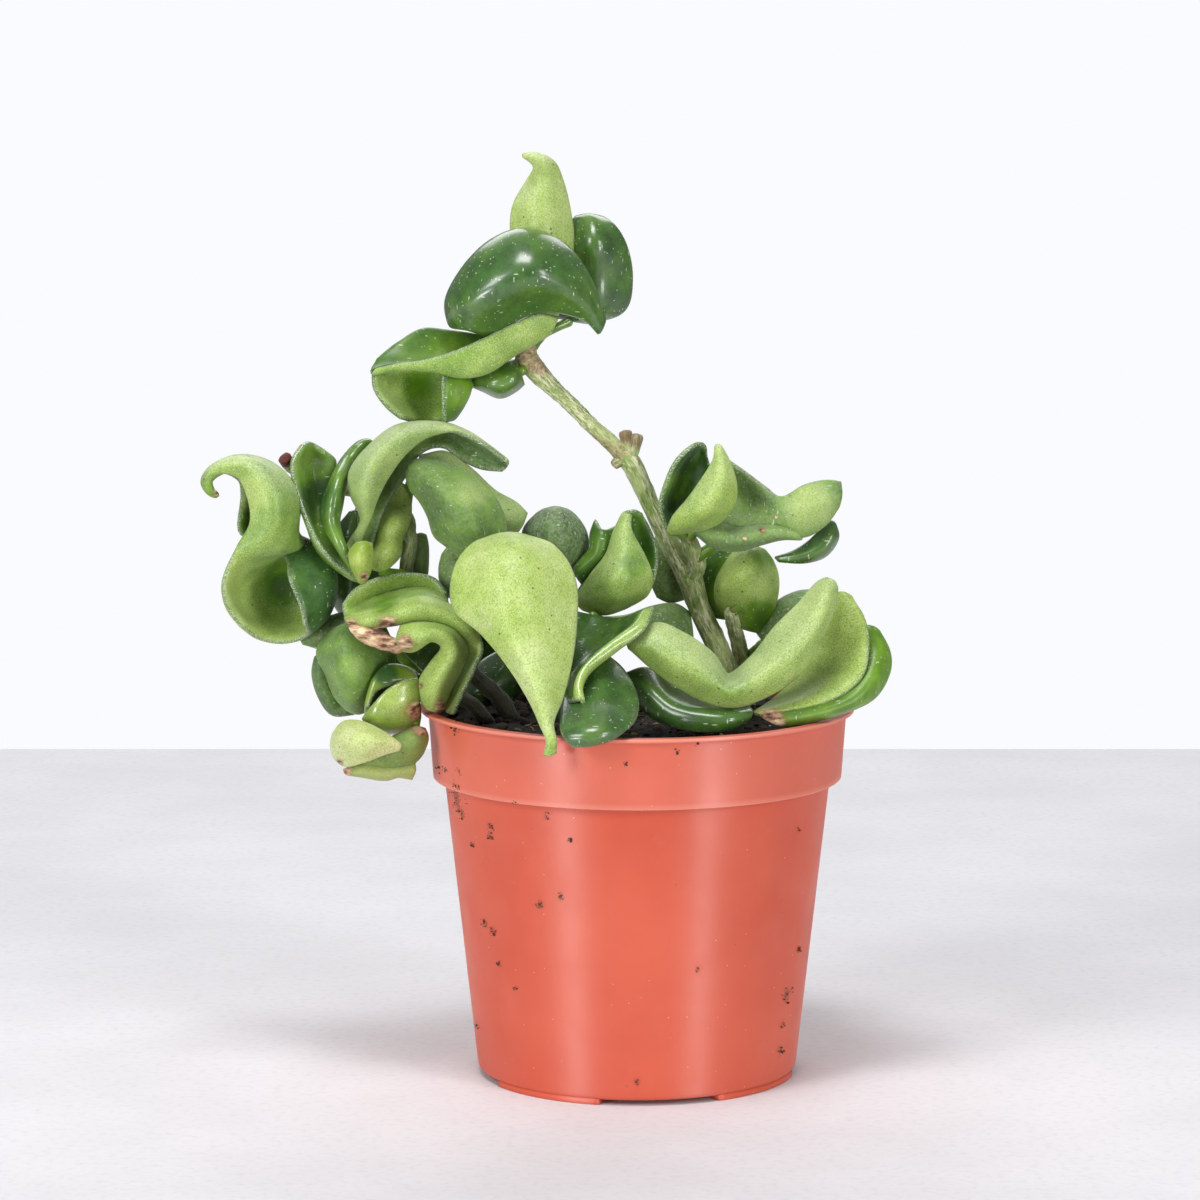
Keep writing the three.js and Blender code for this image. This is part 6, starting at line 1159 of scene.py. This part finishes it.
def leaf_skin(look, base, lightness, fine, grit):
    """Pale felt with painted sheen where the underside faces up, and on a light side fine dark speckles,
    pale grains and a few dark specks.
    """
    hairs = look.ramp(look.noise(0.5, 4, 0.7, (1.0, 1.0, 0.5)), 0.4, 0.6, 0.35, 1.2)
    # The felt colour shows where the underside faces up: painted sheen of the light from above on its hairs.
    felt_and_sheen = look.math("MULTIPLY", look.mark("felt_and_sheen"), hairs, clamp=True)
    base = look.mix(felt_and_sheen, base, colour(206, 214, 178))
    speckles = look.times(look.ramp(fine, 0.48, 0.62), look.ramp(lightness, 0.8, 1.5, 0.05, 0.4))
    base = look.mix(speckles, base, colour(76, 108, 34))
    grains = look.times(look.ramp(grit, 0.5, 0.66), look.ramp(lightness, 0.9, 1.6, 0.0, 0.36))
    base = look.mix(grains, base, colour(222, 228, 192))
    specks = look.times(look.spots(4.1, 0.11, 0.5), look.ramp(lightness, 0.7, 1.2))
    return look.mix(look.times(specks, 0.75), base, colour(38, 52, 26))


def leaf_edges(look, base, grit):
    """A faint midrib, and a dark margin with pale fuzz."""
    base = look.mix(look.times(look.mark("rib"), 0.25), base, colour(110, 142, 60))
    base = look.mix(look.times(look.mark("margin"), 0.7), base, colour(66, 94, 44))
    fuzz = look.times(look.mark("margin"), look.ramp(grit, 0.46, 0.6))
    return look.mix(look.times(fuzz, 0.5), base, colour(222, 228, 202))


def leaf_age(look, base, lightness, dust):
    """Yellowing, dust and lint."""
    young = look.times(look.mark("young"), look.ramp(lightness, 0.3, 1.1, 0.0, 0.75))
    base = look.mix(young, base, colour(196, 194, 70))
    base = look.mix(look.times(dust, 0.8), base, colour(150, 160, 132))
    share = look.times(lint(look), look.ramp(lightness, 1.5, 0.7, 0.25, 0.7))
    return look.mix(share, base, colour(206, 214, 190))


def lint(look):
    """Thin short fibres that lie across one another, and small dots between them."""
    upright = look.spots(2.9, 0.3, 0.12, (4.2, 4.2, 0.9), (0.0, 0.5, 0.4))
    lying = look.spots(3.3, 0.28, 0.12, (0.9, 4.4, 4.4), (0.4, 0.9, 0.0))
    fibres = look.math("MAXIMUM", upright, lying)
    return look.math("MAXIMUM", fibres, look.spots(3.2, 0.07, 0.15))


def dry_tissue(look, base):
    """Olive where a leaf withers, and torn brown where it is dry. Returns the base and how dry it is."""
    wither = look.mark("wither")
    base = look.mix(look.ramp(wither, 0.1, 0.8, 0.0, 0.6), base, colour(118, 98, 56))
    torn = look.noise(3.0, 5, 0.6, (0.7, 0.7, 1.9))
    dry = look.ramp(look.add(wither, look.times(torn, 0.8)), 0.9, 1.15)
    brown = look.mix(look.ramp(torn, 0.38, 0.54), colour(84, 54, 40), colour(180, 142, 110))
    brown = look.mix(look.ramp(torn, 0.5, 0.68), brown, colour(222, 202, 164))
    return look.mix(dry, base, brown), dry


def stem_look():
    """Grey-green vine with fine beige cracks along it, brown bark where it is marked, and painted shade
    near the soil.
    """
    look = Look("stem", 0.55, 0.4, sheen_weight=0.2, sheen_roughness=0.45)
    patchy, fine = look.noise(5, 4), look.noise(0.4, 3)
    look.follow(("round_x", "round_y", "along"))
    streaks = look.noise(1.3, 5, 0.65, (1.0, 1.0, 0.12))
    cracks = look.noise(0.6, 4, 0.7, (1.0, 1.0, 0.25))
    base = look.mix(look.ramp(patchy, 0.3, 0.7), colour(130, 154, 78), colour(184, 196, 132))
    base = look.mix(look.ramp(look.add(streaks, cracks), 1.0, 1.16), base, colour(220, 215, 182))
    base = look.mix(look.ramp(cracks, 0.47, 0.38, 0.0, 0.6), base, colour(86, 98, 56))
    base = look.mix(look.times(look.spots(1.4, 0.2, 0.3), 0.4), base, colour(60, 46, 32))
    bark = look.ramp(look.add(look.mark("bark"), look.times(streaks, 0.6)), 0.7, 1.0)
    flakes = look.ramp(look.noise(0.9, 5, 0.7), 0.35, 0.65)
    brown = look.mix(flakes, colour(110, 74, 54), colour(196, 170, 136))
    base = look.mix(look.times(bark, 0.85), base, brown)
    base = look.mix(look.mark("red"), base, colour(104, 34, 30))
    # Painted shade: the low parts of the stems near the soil are made almost black.
    base = look.mix(look.mark("old"), base, colour(26, 21, 17))
    look.bump(look.add(look.times(cracks, 0.8), look.times(fine, 0.3)), 0.4)
    return look.finish(base, look.ramp(bark, 0.0, 1.0, 0.5, 0.78))


def pot_look():
    """Satin moulded plastic with highlights drawn out from top to bottom, painted highlights along the lip
    and the collar's foot, a little paler above the collar's foot, painted shade inside the collar, and soiled
    with fine dust."""
    look = Look("pot", 0.5, 0.9, anisotropic=0.9, anisotropic_rotation=0.25)
    broad, fine = look.noise(30), look.noise(0.6, 4)
    base = look.mix(look.ramp(broad, 0.25, 0.75), colour(200, 80, 53), colour(210, 91, 63))
    # Painted highlights along the lip and the collar's foot, and everything above the collar's foot a little
    # paler.
    base = look.mix(look.times(look.mark("edge"), 0.55), base, colour(238, 160, 142))
    smears = look.times(look.ramp(look.noise(7, 6, 0.65), 0.58, 0.8), 0.22)
    base = look.mix(smears, base, colour(196, 112, 92))
    base = look.mix(look.times(look.spots(2.6, 0.07, 0.4), 0.6), base, colour(248, 226, 218))
    base = look.mix(look.times(look.spots(4.3, 0.06, 0.35), 0.6), base, colour(96, 50, 38))
    # Painted shade on the inner wall of the collar.
    base = look.mix(look.times(look.mark("painted_inner_shade"), 0.45), base, colour(150, 74, 60))
    smudge = look.ramp(look.add(look.mark("soiled"), look.times(look.noise(1.3, 6, 0.8), 1.5)), 1.15, 1.6)
    base = look.mix(look.times(smudge, 0.65), base, colour(112, 58, 40))
    look.bump(look.add(look.times(fine, 0.5), look.times(broad, 0.5)), 0.05)
    return look.finish(base, look.ramp(look.noise(12, 5), 0.3, 0.7, 0.46, 0.54))


def soil_look(name, lightness=0.0):
    """Dark damp peat with paler fibres and grains."""
    look = Look(name, 0.85, 0.25)
    grain, fine = look.noise(1.8, 6, 0.7), look.noise(0.5, 4)
    base = look.mix(look.ramp(grain, 0.35, 0.68), colour(14, 12, 11), colour(52, 44, 38))
    base = look.mix(look.ramp(fine, 0.6, 0.75, 0.0, 0.5), base, colour(96, 78, 60))
    base = look.mix(look.times(look.spots(5, 0.1, 0.35), 0.8), base, colour(190, 184, 172))
    base = look.mix(look.add(look.mark("pale"), lightness), base, colour(170, 146, 112))
    look.bump(look.add(grain, look.times(fine, 0.4)), 0.9)
    return look.finish(base, look.ramp(grain, 0.3, 0.7, 0.7, 0.92))


def floor_look():
    """Pale matt tabletop with faint mottling."""
    look = Look("floor", 0.8, 0.2)
    clouds, grain = look.noise(90, 6, 0.6), look.noise(2.5, 5)
    base = look.mix(look.ramp(clouds, 0.3, 0.7), colour(217, 216, 219), colour(225, 224, 227))
    base = look.mix(look.ramp(grain, 0.45, 0.8, 0.0, 0.4), base, colour(198, 197, 201))
    look.bump(grain, 0.05)
    return look.finish(base, look.ramp(clouds, 0.2, 0.8, 0.7, 0.85))


# Looks of the kinds of leaf: roughness, specular, gloss and sheen
LEAF_LOOKS = {
    "dark": leaf_look("leaf_dark", 0.36, 0.35, 1.0, 0.0),
    "light": leaf_look("leaf_light", 0.38, 0.4, 0.1, 0.1),
    "dusty": leaf_look("leaf_dusty", 0.46, 0.35, 0.0, 0.15),
}


def spot_tones_and_painted_light(name, tone, points):
    """The tones of a blade's points, changed near the leaf's lighter and darker places, many of which are
    painted light and shade.
    """
    for x, z, spread, spot_tone in LIGHT_SHADE_AND_TONE_SPOTS.get(name, []):
        share = near(np.linalg.norm(as_seen(points) - (x, z), axis=1), spread, 3)
        tone = tone * (1 - share) + spot_tone * share
    return tone


def dry_share(name, points):
    """How dry each point is, from the leaf's dry spots."""
    dry = np.zeros(len(points))
    for x, z, spread in DRY_SPOTS.get(name, []):
        dry = np.maximum(dry, near(np.linalg.norm(as_seen(points) - (x, z), axis=1), spread))
    return dry


def leaf_tones(name, kind, k, side, marks, points):
    """How light, young, dusty and dry each point of blade k is. Side is UP or DOWN."""
    own = LEAF_TONES.get(name, {})
    tones = {**PLAIN_TONES, **LEAF_TONES[kind], **(own[k] if isinstance(own, list) else own)}
    upper, under, felt_and_sheen = (np.interp(marks["along"], (0, 1), np.broadcast_to(tones[part], 2))
                          for part in ("upper", "under", "felt_and_sheen"))
    is_upper = marks["face"] * side > 0
    rim = rise(-marks["from_last"], -tones["rim"] - 0.5, -tones["rim"]) if tones["rim"] else 0
    rim_tone = 1.2 + 0.8 * marks["along"]
    return {
        "tone": spot_tones_and_painted_light(name, np.where(is_upper, upper, under), points) * (1 - rim) + rim_tone * rim,
        "young": tones["young"],
        "dust": tones["dust"],
        "wither": np.maximum(tones["wither"], dry_share(name, points)),
        "margin": marks["margin"],
        "rib": marks["rib"] * np.where(is_upper, 1, 0.4),
        # Felt shows on the underside where it faces up: painted sheen of the light from above on the pale
        # hairs.
        "felt_and_sheen": felt_and_sheen * rise(marks["up"], -0.2, 0.8) * ~is_upper,
    }


def make_leaf(name, kind, stalk, joint, blades, seed):
    piece = Piece(("tone", "young", "dust", "wither", "margin", "rib", "felt_and_sheen"))
    for k, (side, net) in enumerate(blades):
        points, faces, marks = blade_mesh(net, seed + 7 * k)
        piece.add(points, faces, **leaf_tones(name, kind, k, side, marks, points))
    first_net = blades[0][1]
    line = [*stalk, first_net[joint[0]][joint[1]]]
    radii = [PETIOLE_FOOT_RADIUS, PETIOLE_RADIUS, PETIOLE_RADIUS]
    points, faces, along, _ = rod_mesh(line, radii, PETIOLE_SIDES, PETIOLE_STEP, PETIOLE_ROUGHNESS, seed)
    piece.add(points, faces, tone=0.9, wither=rise(-along, -4, 0) * 0.5 + 0.15)
    node = "leaf_" + name
    piece.make(node + "_fine", LEAF_LOOKS[kind], "leaf_" + kind, node)


def make_leaves():
    leaves = TOP_LEAVES + LEFT_LEAVES + LOW_LEFT_LEAVES + CENTRE_LEAVES + RIGHT_LEAVES + BACK_LEAVES
    for seed, leaf in enumerate(leaves):
        make_leaf(*leaf, seed)


def stem_marks(name, k, points, along, angle, seed):
    """Where rod k of a stem is covered in bark, red at its tip, or painted dark near the soil as shade, and
    its place along and round the rod."""
    height = points[:, 2]
    knots = 0.6 * rise(noise_at(points, 14, seed), 0.3, 0.6) * rise(height, *BARK_RISE)
    top_node = rise(height, *TOP_NODE_RISE) if name == "stem_main" else 0
    shade = 1 - rise(height, *SHADE_END)
    red_tips = RED_TIPS.get(name, [])
    red_from, red_full = (along.max() - reach for reach in RED_TIP_REACH)
    return {
        "bark": np.maximum(knots, 0.65 * top_node) if k == 0 else 0.25,
        "red": red_tips[k] * rise(along, red_from, red_full) if k < len(red_tips) else 0,
        "old": 0.9 * shade if name in SHADED_STEMS else 0,
        "along": along,
        "round_x": GRAIN_LINE_RADIUS * np.cos(angle) + GRAIN_LINE_SHIFT * k,
        "round_y": GRAIN_LINE_RADIUS * np.sin(angle) + GRAIN_LINE_SHIFT * seed,
    }


def make_stems():
    material = stem_look()
    for seed, (name, rods) in enumerate(STEMS):
        piece = Piece(("bark", "red", "old", "along", "round_x", "round_y"))
        for k, (line, radii) in enumerate(rods):
            rod = rod_mesh(line, radii, STEM_SIDES, STEM_STEP, STEM_ROUGHNESS, 10 * seed + k)
            points, faces, along, angle = rod
            piece.add(points, faces, **stem_marks(name, k, points, along, angle, seed))
        piece.make(name + "_fine", material, "stem", name)


def pot_outline():
    """The pot's section, from the middle of the floor's underside round the lip to the middle of its top.
    Each corner has its distance from the axis, its height and how far it is rounded."""
    low_lip = POT_HEIGHT - LIP_THICKNESS
    corners = [
        (BODY_FOOT_RADIUS - 0.5, FLOOR_UNDERSIDE, 1.4),
        (BODY_TOP_RADIUS, COLLAR_FOOT_HEIGHT, 0.5),
        (COLLAR_FOOT_RADIUS, COLLAR_FOOT_HEIGHT, 0.35),
        (COLLAR_TOP_RADIUS, low_lip, 0.5),
        (LIP_RADIUS, low_lip, 0.3),
        (LIP_RADIUS, POT_HEIGHT, 0.3),
        (COLLAR_TOP_RADIUS - WALL, POT_HEIGHT, 0.4),
        (COLLAR_FOOT_RADIUS - WALL, COLLAR_FOOT_HEIGHT + WALL, 0.4),
        (BODY_TOP_RADIUS - WALL, COLLAR_FOOT_HEIGHT + WALL, 0.4),
        (BODY_FOOT_RADIUS - WALL, FLOOR_TOP, 0.6),
    ]
    start, end = (HUB_RADIUS, FLOOR_UNDERSIDE), (HUB_RADIUS, FLOOR_TOP)
    places = [start] + [corner[:2] for corner in corners] + [end]
    outline = [start]
    for before, corner, after in zip(places, corners, places[2:]):
        outline += rounded_corner(before, corner[:2], after, corner[2])
    return outline + [end]


def rounded_corner(before, corner, after, radius, steps=6):
    """Points along the curve that rounds off one corner of an outline."""
    before, corner, after = (np.array(point, float) for point in (before, corner, after))
    start, end = (corner + min(radius, 0.45 * np.linalg.norm(leg)) * unit(leg)
                  for leg in (before - corner, after - corner))
    shares = np.linspace(0, 1, steps)
    return [tuple((1 - t) ** 2 * start + 2 * t * (1 - t) * corner + t * t * end) for t in shares]


def with_short_steps(outline, longest):
    """The outline with points added so that no step is longer than that."""
    outline = np.array(outline, float)
    steps = []
    for start, end in zip(outline, outline[1:]):
        count = max(1, math.ceil(np.linalg.norm(end - start) / longest))
        steps += [start + (end - start) * k / count for k in range(count)]
    return steps + [outline[-1]]


def turned(outline, sides):
    """A turned shape from (radius, height) pairs that run from near the axis round and back to it."""
    outline = np.array(outline, float)
    angle = circle(sides)
    points = np.stack([outline[:, :1] * np.cos(angle), outline[:, :1] * np.sin(angle),
                       np.repeat(outline[:, 1:], sides, axis=1)], axis=-1)
    return points.reshape(-1, 3), tube_faces(len(outline), sides)


def foot_arc(start):
    """One of the low arcs that the pot stands on."""
    outer = BODY_FOOT_RADIUS - FOOT_INSET
    top = FLOOR_UNDERSIDE + SINK
    section = [(FOOT_INNER_RADIUS, top), (FOOT_INNER_RADIUS, FOOT_BEVEL), (FOOT_INNER_RADIUS + FOOT_BEVEL, 0),
               (outer - FOOT_BEVEL, 0), (outer, FOOT_BEVEL), (outer, top)]
    angles = start + np.linspace(0, FOOT_SPAN, 25)
    points = [[(r * math.cos(a), r * math.sin(a), z) for r, z in section] for a in angles]
    return np.array(points).reshape(-1, 3), tube_faces(len(angles), len(section))


def upright_cylinder(x, y, radius, bottom, top, sides=32):
    angle = circle(sides)
    ring = np.stack([x + radius * np.cos(angle), y + radius * np.sin(angle), np.zeros(sides)], axis=-1)
    return np.concatenate([ring + [0, 0, bottom], ring + [0, 0, top]]), tube_faces(2, sides)


def cut_holes(piece):
    """Cuts the drain holes through the pot's floor."""
    holes = Piece()
    for k in range(DRAIN_HOLE_COUNT):
        angle = 2 * math.pi * (k + 0.5) / DRAIN_HOLE_COUNT
        x, y = DRAIN_HOLE_CIRCLE * math.cos(angle), DRAIN_HOLE_CIRCLE * math.sin(angle)
        holes.add(*upright_cylinder(x, y, DRAIN_HOLE_RADIUS, -2, FLOOR_TOP + 2))
    cutter = holes.plain_object("holes")
    modifier = piece.modifiers.new("drain_holes", "BOOLEAN")
    modifier.operation = "DIFFERENCE"
    modifier.object = cutter
    modifier.solver = "EXACT"
    finished = bpy.data.meshes.new_from_object(piece.evaluated_get(bpy.context.evaluated_depsgraph_get()))
    piece.modifiers.clear()
    piece.data = finished
    bpy.data.objects.remove(cutter)


def pot_radius(height):
    """Radius of the outside of the pot at a height."""
    low_lip = POT_HEIGHT - LIP_THICKNESS
    if height > COLLAR_FOOT_HEIGHT:
        return np.interp(height, (COLLAR_FOOT_HEIGHT, low_lip), (COLLAR_FOOT_RADIUS, COLLAR_TOP_RADIUS))
    return np.interp(height, (FLOOR_UNDERSIDE, COLLAR_FOOT_HEIGHT), (BODY_FOOT_RADIUS, BODY_TOP_RADIUS))


def on_pot_front(x, z):
    """The place on the outside of the pot, towards the viewer, at that way across and that height."""
    return np.array((x, -math.sqrt(pot_radius(z) ** 2 - x ** 2), z))


def soil_smears(points):
    """How soiled each point of the pot's front is."""
    soiled = np.zeros(len(points))
    for x, z, spread in POT_DIRT:
        distance = np.linalg.norm((points - on_pot_front(x, z)) * (1, 1, 0.75), axis=1)
        soiled = np.maximum(soiled, near(distance, 1.7 * spread))
    return soiled


def painted_edge_highlights(radius, height):
    """How much the plastic is painted paler: painted highlights on the lip and at the collar's foot, and a
    little paler everywhere above the collar's foot.
    """
    on_lip = radius > LIP_RADIUS - 0.6
    return np.maximum.reduce([
        near(height - POT_HEIGHT + 0.3, 0.6) * on_lip,
        0.6 * near(height - POT_HEIGHT + LIP_THICKNESS, 0.5) * on_lip,
        near(height - COLLAR_FOOT_HEIGHT, 0.6) * (radius > COLLAR_FOOT_RADIUS - 0.8),
        0.25 * (height > COLLAR_FOOT_HEIGHT),
    ])


def make_pot():
    piece = Piece(("edge", "painted_inner_shade", "soiled"))
    points, faces = turned(with_short_steps(pot_outline(), POT_STEP), POT_SIDES)
    radius, height = np.hypot(points[:, 0], points[:, 1]), points[:, 2]
    # The inner wall of the collar, where shade is painted.
    painted_inner_shade = (height > COLLAR_FOOT_HEIGHT) & (radius < COLLAR_FOOT_RADIUS - 0.7)
    piece.add(points, faces, edge=painted_edge_highlights(radius, height), painted_inner_shade=painted_inner_shade, soiled=soil_smears(points))
    for k in range(FOOT_COUNT):
        piece.add(*foot_arc(FIRST_FOOT_ANGLE + 2 * math.pi * k / FOOT_COUNT))
    piece.add(*upright_cylinder(0, 0, REST_DISC_RADIUS, 0, FLOOR_UNDERSIDE + SINK, 64))
    cut_holes(piece.make("pot_fine", pot_look(), "pot", "pot"))


def soil_top(points):
    """The points of the soil's top, raised into lumps and grains."""
    flat = points * [1, 1, 0]
    height = sum(rough * noise_at(flat, size, k + 1) for k, (size, rough) in enumerate(SOIL_BUMPS))
    height = height * (1 - rise(np.hypot(points[:, 0], points[:, 1]), *SOIL_FLAT_RIM))
    return points + height[:, None] * [0, 0, 1]


def make_soil():
    piece = Piece(("pale",))
    wall_inside = WALL + SOIL_GAP
    bottom = FLOOR_TOP + 0.1
    wall = [
        (HUB_RADIUS, bottom),
        (BODY_FOOT_RADIUS - wall_inside, bottom),
        (BODY_TOP_RADIUS - wall_inside, COLLAR_FOOT_HEIGHT),
        (COLLAR_FOOT_RADIUS - wall_inside, COLLAR_FOOT_HEIGHT + 2),
    ]
    top_radii = (COLLAR_TOP_RADIUS - WALL - 0.6) * (1 - np.linspace(0, 1, SOIL_RINGS) ** 1.25)
    top = [(max(radius, HUB_RADIUS), SOIL_LEVEL) for radius in top_radii]
    points, faces = turned(wall + top, SOIL_SIDES)
    first = len(wall) * SOIL_SIDES
    points[first:] = soil_top(points[first:])
    piece.add(points, faces)
    scatter_crumbs(piece)
    scatter_fibres(piece)
    piece.make("soil_fine", soil_look("soil"), "soil", "soil")


def lump(centre, size, seed):
    """A rough rounded grain."""
    rings, sides = 7, 9
    up = np.linspace(-1, 1, rings)[:, None]
    angle = circle(sides)
    flat = np.sqrt(np.maximum(1 - up ** 2, 0.02))
    height = np.repeat(up * 0.75, sides, axis=1)
    points = np.stack([flat * np.cos(angle), flat * np.sin(angle), height], axis=-1)
    points = points * (1 + 0.45 * noise_at(points * 3, 3.0, seed))[..., None] * size + centre
    return points.reshape(-1, 3), tube_faces(rings, sides)


def random_place(chance, reach, height):
    """A random place on the soil within that reach of its middle."""
    radius, angle = reach * math.sqrt(chance.random()), chance.uniform(0, 2 * math.pi)
    return np.array((radius * math.cos(angle), radius * math.sin(angle), height))


def scatter_crumbs(piece):
    chance = random.Random(CRUMB_SEED)
    for k in range(CRUMB_COUNT):
        place = random_place(chance, CRUMB_REACH, SOIL_LEVEL)
        size = SMALLEST_CRUMB + CRUMB_RANGE * chance.random() ** 3
        pale = chance.random() < PALE_CRUMB_SHARE
        points, faces = lump(place + [0, 0, 0.25 * size], size * (PALE_CRUMB_SIZE if pale else 1.0), k)
        piece.add(points, faces, pale=chance.uniform(*(PALE_CRUMB_TONES if pale else DARK_CRUMB_TONES)))


def scatter_fibres(piece):
    chance = random.Random(FIBRE_SEED)
    for _ in range(FIBRE_COUNT):
        end = random_place(chance, FIBRE_REACH, SOIL_LEVEL + 0.3)
        heading, line = chance.uniform(0, 2 * math.pi), []
        for _ in range(FIBRE_STEPS):
            line.append(end.copy())
            heading += chance.uniform(-FIBRE_BEND, FIBRE_BEND)
            step = np.array((math.cos(heading), math.sin(heading), chance.uniform(*FIBRE_CLIMBS)))
            end += step * chance.uniform(*FIBRE_STEP_LENGTHS)
        piece.add(*thin_rod(np.array(line), chance.uniform(*FIBRE_RADII)), pale=chance.uniform(*FIBRE_TONES))


def thin_rod(line, radius, sides=5):
    around, _ = round_directions(line, sides, FIBRE_ASIDE)
    return (line[:, None] + around * radius).reshape(-1, 3), tube_faces(len(line), sides)


def scatter_dirt():
    """Crumbs of soil that stick to the outside of the pot."""
    chance = random.Random(GRAIN_SEED)
    piece = Piece(("pale",))
    for x, z, spread in POT_DIRT:
        for _ in range(int(GRAINS_PER_SPOT + GRAINS_PER_SPREAD * spread)):
            heading, reach = chance.uniform(0, 2 * math.pi), GRAIN_REACH * spread * chance.random()
            across, height = x + reach * math.cos(heading), z + SPOT_HEIGHT_SHARE * reach * math.sin(heading)
            if abs(across) < pot_radius(height) - 0.3:
                grain = SMALLEST_GRAIN + GRAIN_RANGE * chance.random() ** 3
                grain *= min(1, 0.6 + spread / 4)
                points, faces = lump(on_pot_front(across, height), grain, chance.randrange(999))
                piece.add(points, faces, pale=chance.choice(GRAIN_TONES))
    piece.make("pot_dirt", soil_look("dirt", 0.12), "soil")


def make_stage():
    """A pale tabletop that ends behind the pot."""
    corners = [(-TABLE_REACH, -TABLE_REACH, 0), (TABLE_REACH, -TABLE_REACH, 0),
               (TABLE_REACH, TABLE_END, 0), (-TABLE_REACH, TABLE_END, 0)]
    mesh = bpy.data.meshes.new("floor")
    mesh.from_pydata(corners, [], [(0, 1, 2, 3)])
    mesh.materials.append(floor_look())
    plane = bpy.data.objects.new("floor", mesh)
    bpy.context.scene.collection.objects.link(plane)


def area_light(name, place, target, size, power):
    data = bpy.data.lights.new(name, "AREA")
    data.shape = "RECTANGLE"
    data.size, data.size_y = size
    data.energy = power
    light = bpy.data.objects.new(name, data)
    light.location = place
    light.rotation_euler = (Vector(target) - Vector(place)).to_track_quat("-Z", "Y").to_euler()
    bpy.context.scene.collection.objects.link(light)


def studio_world():
    """A white room: the camera sees it white, and what it lights gets softer, dimmer light from it."""
    world = bpy.data.worlds.new("studio")
    bpy.context.scene.world = world
    world.use_nodes = True
    nodes, links = world.node_tree.nodes, world.node_tree.links
    seen_room = nodes["Background"]
    seen_room.inputs["Color"].default_value = colour(250, 251, 254)
    room_light = nodes.new("ShaderNodeBackground")
    room_light.inputs["Color"].default_value = colour(248, 250, 255)
    room_light.inputs["Strength"].default_value = 0.2
    path, either = nodes.new("ShaderNodeLightPath"), nodes.new("ShaderNodeMixShader")
    links.new(path.outputs["Is Camera Ray"], either.inputs[0])
    links.new(room_light.outputs[0], either.inputs[1])
    links.new(seen_room.outputs[0], either.inputs[2])
    links.new(either.outputs[0], nodes["World Output"].inputs["Surface"])


def place_camera():
    data = bpy.data.cameras.new("camera")
    data.sensor_width = SENSOR_WIDTH
    data.lens = SENSOR_WIDTH * FOCAL_SHARE
    data.clip_start, data.clip_end = 0.05, 20
    camera = bpy.data.objects.new("camera", data)
    camera.location = VIEWPOINT * MM
    camera.rotation_euler = (math.pi / 2 - CAMERA_PITCH, 0, 0)
    bpy.context.scene.collection.objects.link(camera)
    bpy.context.scene.camera = camera


make_pot()
make_soil()
make_stems()
make_leaves()
scatter_dirt()
make_stage()
for light in LIGHTS:
    area_light(*light)
studio_world()
place_camera()
bpy.context.scene.view_settings.view_transform = "Standard"
